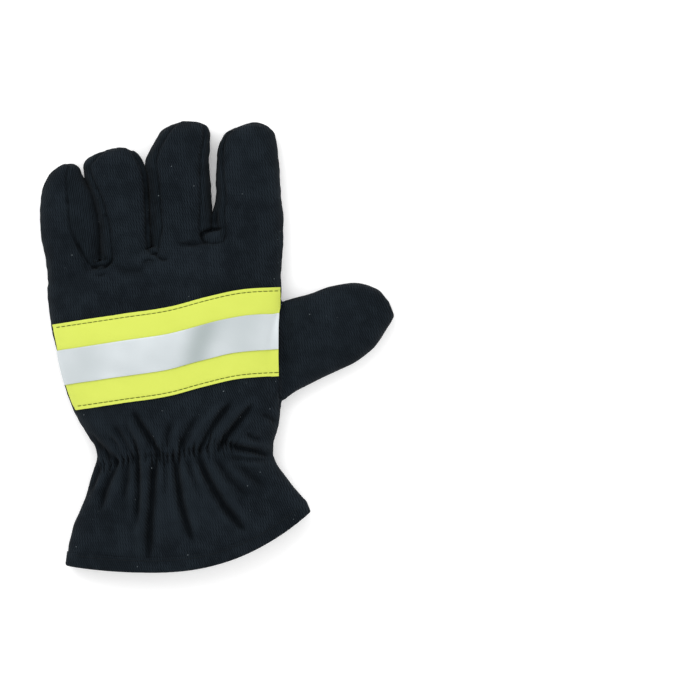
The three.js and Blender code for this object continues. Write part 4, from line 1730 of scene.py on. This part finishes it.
@dataclass
class Glove:
    """The whole glove: cloth panels, hem, tape, film, suede and stitches."""

    hand: Hand = field(default_factory=Hand)
    skin: GloveSkin = field(default_factory=GloveSkin)
    wall: float = 2.2
    seam_gap: float = 0.3
    suede: float = 1.2
    band_width: float = 50
    band_thickness: float = 0.8
    strip_width: float = 20
    strip_thickness: float = 0.5
    strip_lift: float = 0.3
    suede_sunk: float = 0.3
    off_thumb: float = 0.6
    band_row_inset: float = 2.0
    hem_row_inset: float = 1.7
    band_inset: float = 1.8
    band_end: float = 64.2
    band_line: Plan = ((-75, -20.8), (-50.3, -17.3), (-23.2, -13.3), (4, -9.1), (22, -4.2), (40.1, 0),
                       (62.7, 1.8), (75, 2))

    def __post_init__(self) -> None:
        """Prepares the finishes."""
        self.cloth = Twill("navy twill", (7, 11, 15), (31, 38, 44)).build()
        strip = Twill("strip twill", (7, 11, 14), (29, 36, 42), way=(0.98, -0.15, 0.1))
        self.strip_cloth = strip.build()
        self.suede_finish = Suede().build()
        self.yellow = YellowTape().build()
        self.silver = SilverFilm().build()
        self.dark_thread = Thread("dark thread", (13, 16, 19), (27, 32, 36)).build()
        self.olive_thread = Thread("olive thread", (52, 58, 14), (92, 102, 30)).build()
        self.pale_thread = Thread("pale thread", (70, 76, 80), (110, 116, 120)).build()

    def finish_piece(self, piece: bpy.types.Object, material: bpy.types.Material, slot: str,
                     *nodes: str) -> None:
        """Dresses a piece and ties it to the frame.

        Args:
            piece: The piece.
            material: Its material.
            slot: The name of the slot that the material stands for. It is not used.
            nodes: The CAD nodes that the piece replaces.
        """
        piece.data.materials.clear()
        piece.data.materials.append(material)
        pick(piece)
        bpy.ops.object.shade_smooth_by_angle(angle=math.radians(50))
        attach(piece, "root")
        if nodes:
            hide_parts(*nodes)
        LOG.info("%s: %d faces", piece.name, len(piece.data.polygons))

    def band_middle(self, x: Array) -> Array:
        """The band's middle line, at places across the hand in millimetres."""
        line = np.array(self.band_line)
        return smooth_read(line[:, 0], line[:, 1], x)

    def band_outline(self, width: float) -> Array:
        """The plan of the band, or of the strip on it, with both ends just inside the glove's edges.

        Args:
            width: How wide it is.

        Returns:
            The plan's corners.
        """
        half, places = width / 2, 14
        foot, top = self.band_middle(np.array([-56.0, -62.0])) + (-half, half)
        end_y = np.linspace(foot, top, places)
        end_x = self.hand.section(-np.ones(places), end_y)[0] + self.band_inset
        low, high = (np.linspace(start, self.band_end, 60) for start in (end_x[0], end_x[-1]))
        return np.concatenate([
            np.stack([low, self.band_middle(low) - half], -1),
            np.stack([high, self.band_middle(high) + half], -1)[::-1],
            np.stack([end_x, end_y], -1)[-2:0:-1]])

    def on_back(self, outline: Array, low: float) -> Field:
        """A signed distance on the back above a level and off the thumb."""
        return lambda points: np.maximum.reduce([
            outline_distance(points, outline), low - points[:, 2],
            self.off_thumb - self.skin.thumb_cut(points)])

    def under_hand(self, outline: Array, high: float) -> Field:
        """A signed distance under the hand below a level and off the thumb."""
        return lambda points: np.maximum.reduce([
            outline_distance(points, outline), points[:, 2] - high,
            self.off_thumb - self.skin.thumb_cut(points)])

    def band_rows(self) -> tuple[Array, ...]:
        """The two rows of stitches that hold the band.

        Returns:
            Each row's points.
        """
        x = np.linspace(-64.5, 64.5, 120)
        half = self.band_width / 2 - self.band_row_inset
        return tuple(np.stack([x, self.band_middle(x) + side * half], -1) for side in (-1, 1))

    def patches(self) -> tuple[Patch, ...]:
        """Plans the suede patches under the hand.

        Returns:
            The patches, in the order in which they are sewn on.
        """
        corners = np.array([(39.0, -42.0), (-39.0, -42.0)])
        heel = np.concatenate([corners, ellipse((0, -68.1), 39, 31.9, 180, 360)])
        heel_row = np.concatenate([rows_of((-36.8, -44.5))[0], ellipse((0, -68.1), 36.8, 29.7, 180, 360),
                                   rows_of((36.8, -44.5))[0]])
        palm_rows = rows_of(*((-63, y, 11, y) for y in (-29.2, -26.4, 26.4, 29.2)), (11.2, -29, 11.2, 29))
        base_rows = rows_of((31, 55.4, 64, 55.4), (31.2, 30, 31.2, 55.4))
        return (
            Patch("palm", rectangle(-70, 13, -31, 31), 3.2, palm_rows,
                  "palm_cross", rows_of((-62, 12, -1.7, -4), (-60, -18, -1.7, 2.8))),
            Patch("heel", heel, 4, (heel_row,)),
            Patch("index_base", rectangle(29.5, 72, 23.2, 57.2), 4, base_rows,
                  "index_cross", rows_of((34, 30, 61, 52), (34, 52, 61, 30))),
            Patch("index_tip", ellipse((47, 95.84), 15, 18.5), 4, (ellipse((47, 95.84), 13.2, 16.7),)))

    def sew_band(self) -> None:
        """The tape over the back, and the film on it."""
        level = self.hand.seam + self.seam_gap / 2
        over_band = 2 * self.seam_gap + self.band_thickness + self.strip_lift
        tape = Trim("band_tape", "hi_vis_band", self.on_back(self.band_outline(self.band_width), level),
                    self.seam_gap, self.band_thickness, self.band_rows(), smoothing=20)
        film = Trim("silver_tape", "reflective_strip",
                    self.on_back(self.band_outline(self.strip_width), level),
                    over_band, self.strip_thickness, slack=0.0, smoothing=20)
        self.finish_piece(tape.build(self.skin), self.yellow, "yellow_tape", tape.node)
        self.finish_piece(film.build(self.skin), self.silver, "silver_film", film.node)

    def sew_trims(self) -> None:
        """The band over the back and the suede under the hand, and then their rows of stitches."""
        self.sew_band()
        patches = self.patches()
        for patch in patches:
            trim = Trim(f"{patch.name}_suede", f"{patch.name}_patch",
                        self.under_hand(patch.plan, patch.high), self.seam_gap,
                        self.suede - self.suede_sunk, patch.rows + patch.cross)
            self.finish_piece(trim.build(self.skin), self.suede_finish, "suede", trim.node)
        self.sew("band_stitches", "band_tape", Side.ABOVE, self.band_rows(), self.olive_thread, "thread")
        for patch in patches:
            jobs = [(patch.name, patch.rows, self.dark_thread, "thread")]
            if patch.cross:
                jobs.append((patch.cross_name, patch.cross, self.pale_thread, "pale_thread"))
            for name, rows, thread, slot in jobs:
                self.sew(f"{name}_stitches", f"{patch.name}_suede", Side.BELOW, rows, thread, slot)

    def sew(self, name: str, carrier: str, side: Side, rows: Sequence[Array], thread: bpy.types.Material,
            slot: str) -> None:
        """Sews rows of stitches on one piece.

        Args:
            name: The stitches' name.
            carrier: The piece that they are sewn through.
            side: Whether they are sewn from above or from below.
            rows: Each row as a line of plan points.
            thread: The thread's material.
            slot: The name of its slot.
        """
        piece = bpy.data.objects[carrier]
        faces = [tuple(face.vertices) for face in piece.data.polygons]
        tree = BVHTree.FromPolygons(vertices(piece).tolist(), faces)
        self.finish_piece(Stitching(name, tree, side).build(rows), thread, slot)

    def sew_hem(self) -> None:
        """The row of stitches round the hem, over and under."""
        across = np.linspace(-0.93, 0.93, 90)
        y = self.hand.mouth_y(across) + self.hand.hem_height - self.hem_row_inset
        row = self.hand.surface(across, y, np.ones(90, bool))[:, :2]
        for name, side in (("hem_stitches_back", Side.ABOVE), ("hem_stitches_palm", Side.BELOW)):
            self.sew(name, "hem_cloth", side, (row,), self.dark_thread, "thread")

    def build(self) -> None:
        """Builds every piece in turn."""
        self.skin.model()
        self.sew_trims()
        hem = Hem(self.hand).build(self.skin)
        self.finish_piece(hem, self.cloth, "shell_cloth", "cuff_hem")
        self.sew_hem()
        for panel, piece in part_skin(self.skin).items():
            apply_modifier(piece, "SOLIDIFY", thickness=self.wall * MM, offset=-1)
            between = panel in (Panel.LITTLE_RING, Panel.RING_MIDDLE, Panel.MIDDLE_INDEX)
            cloth = self.strip_cloth if between else self.cloth
            self.finish_piece(piece, cloth, "shell_cloth", panel.value)


def main() -> None:
    """Loads the frame, builds the glove and the studio."""
    logging.basicConfig(level=logging.INFO, format="%(message)s")
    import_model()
    Studio().build()
    Glove().build()


if __name__ == "__main__":
    main()
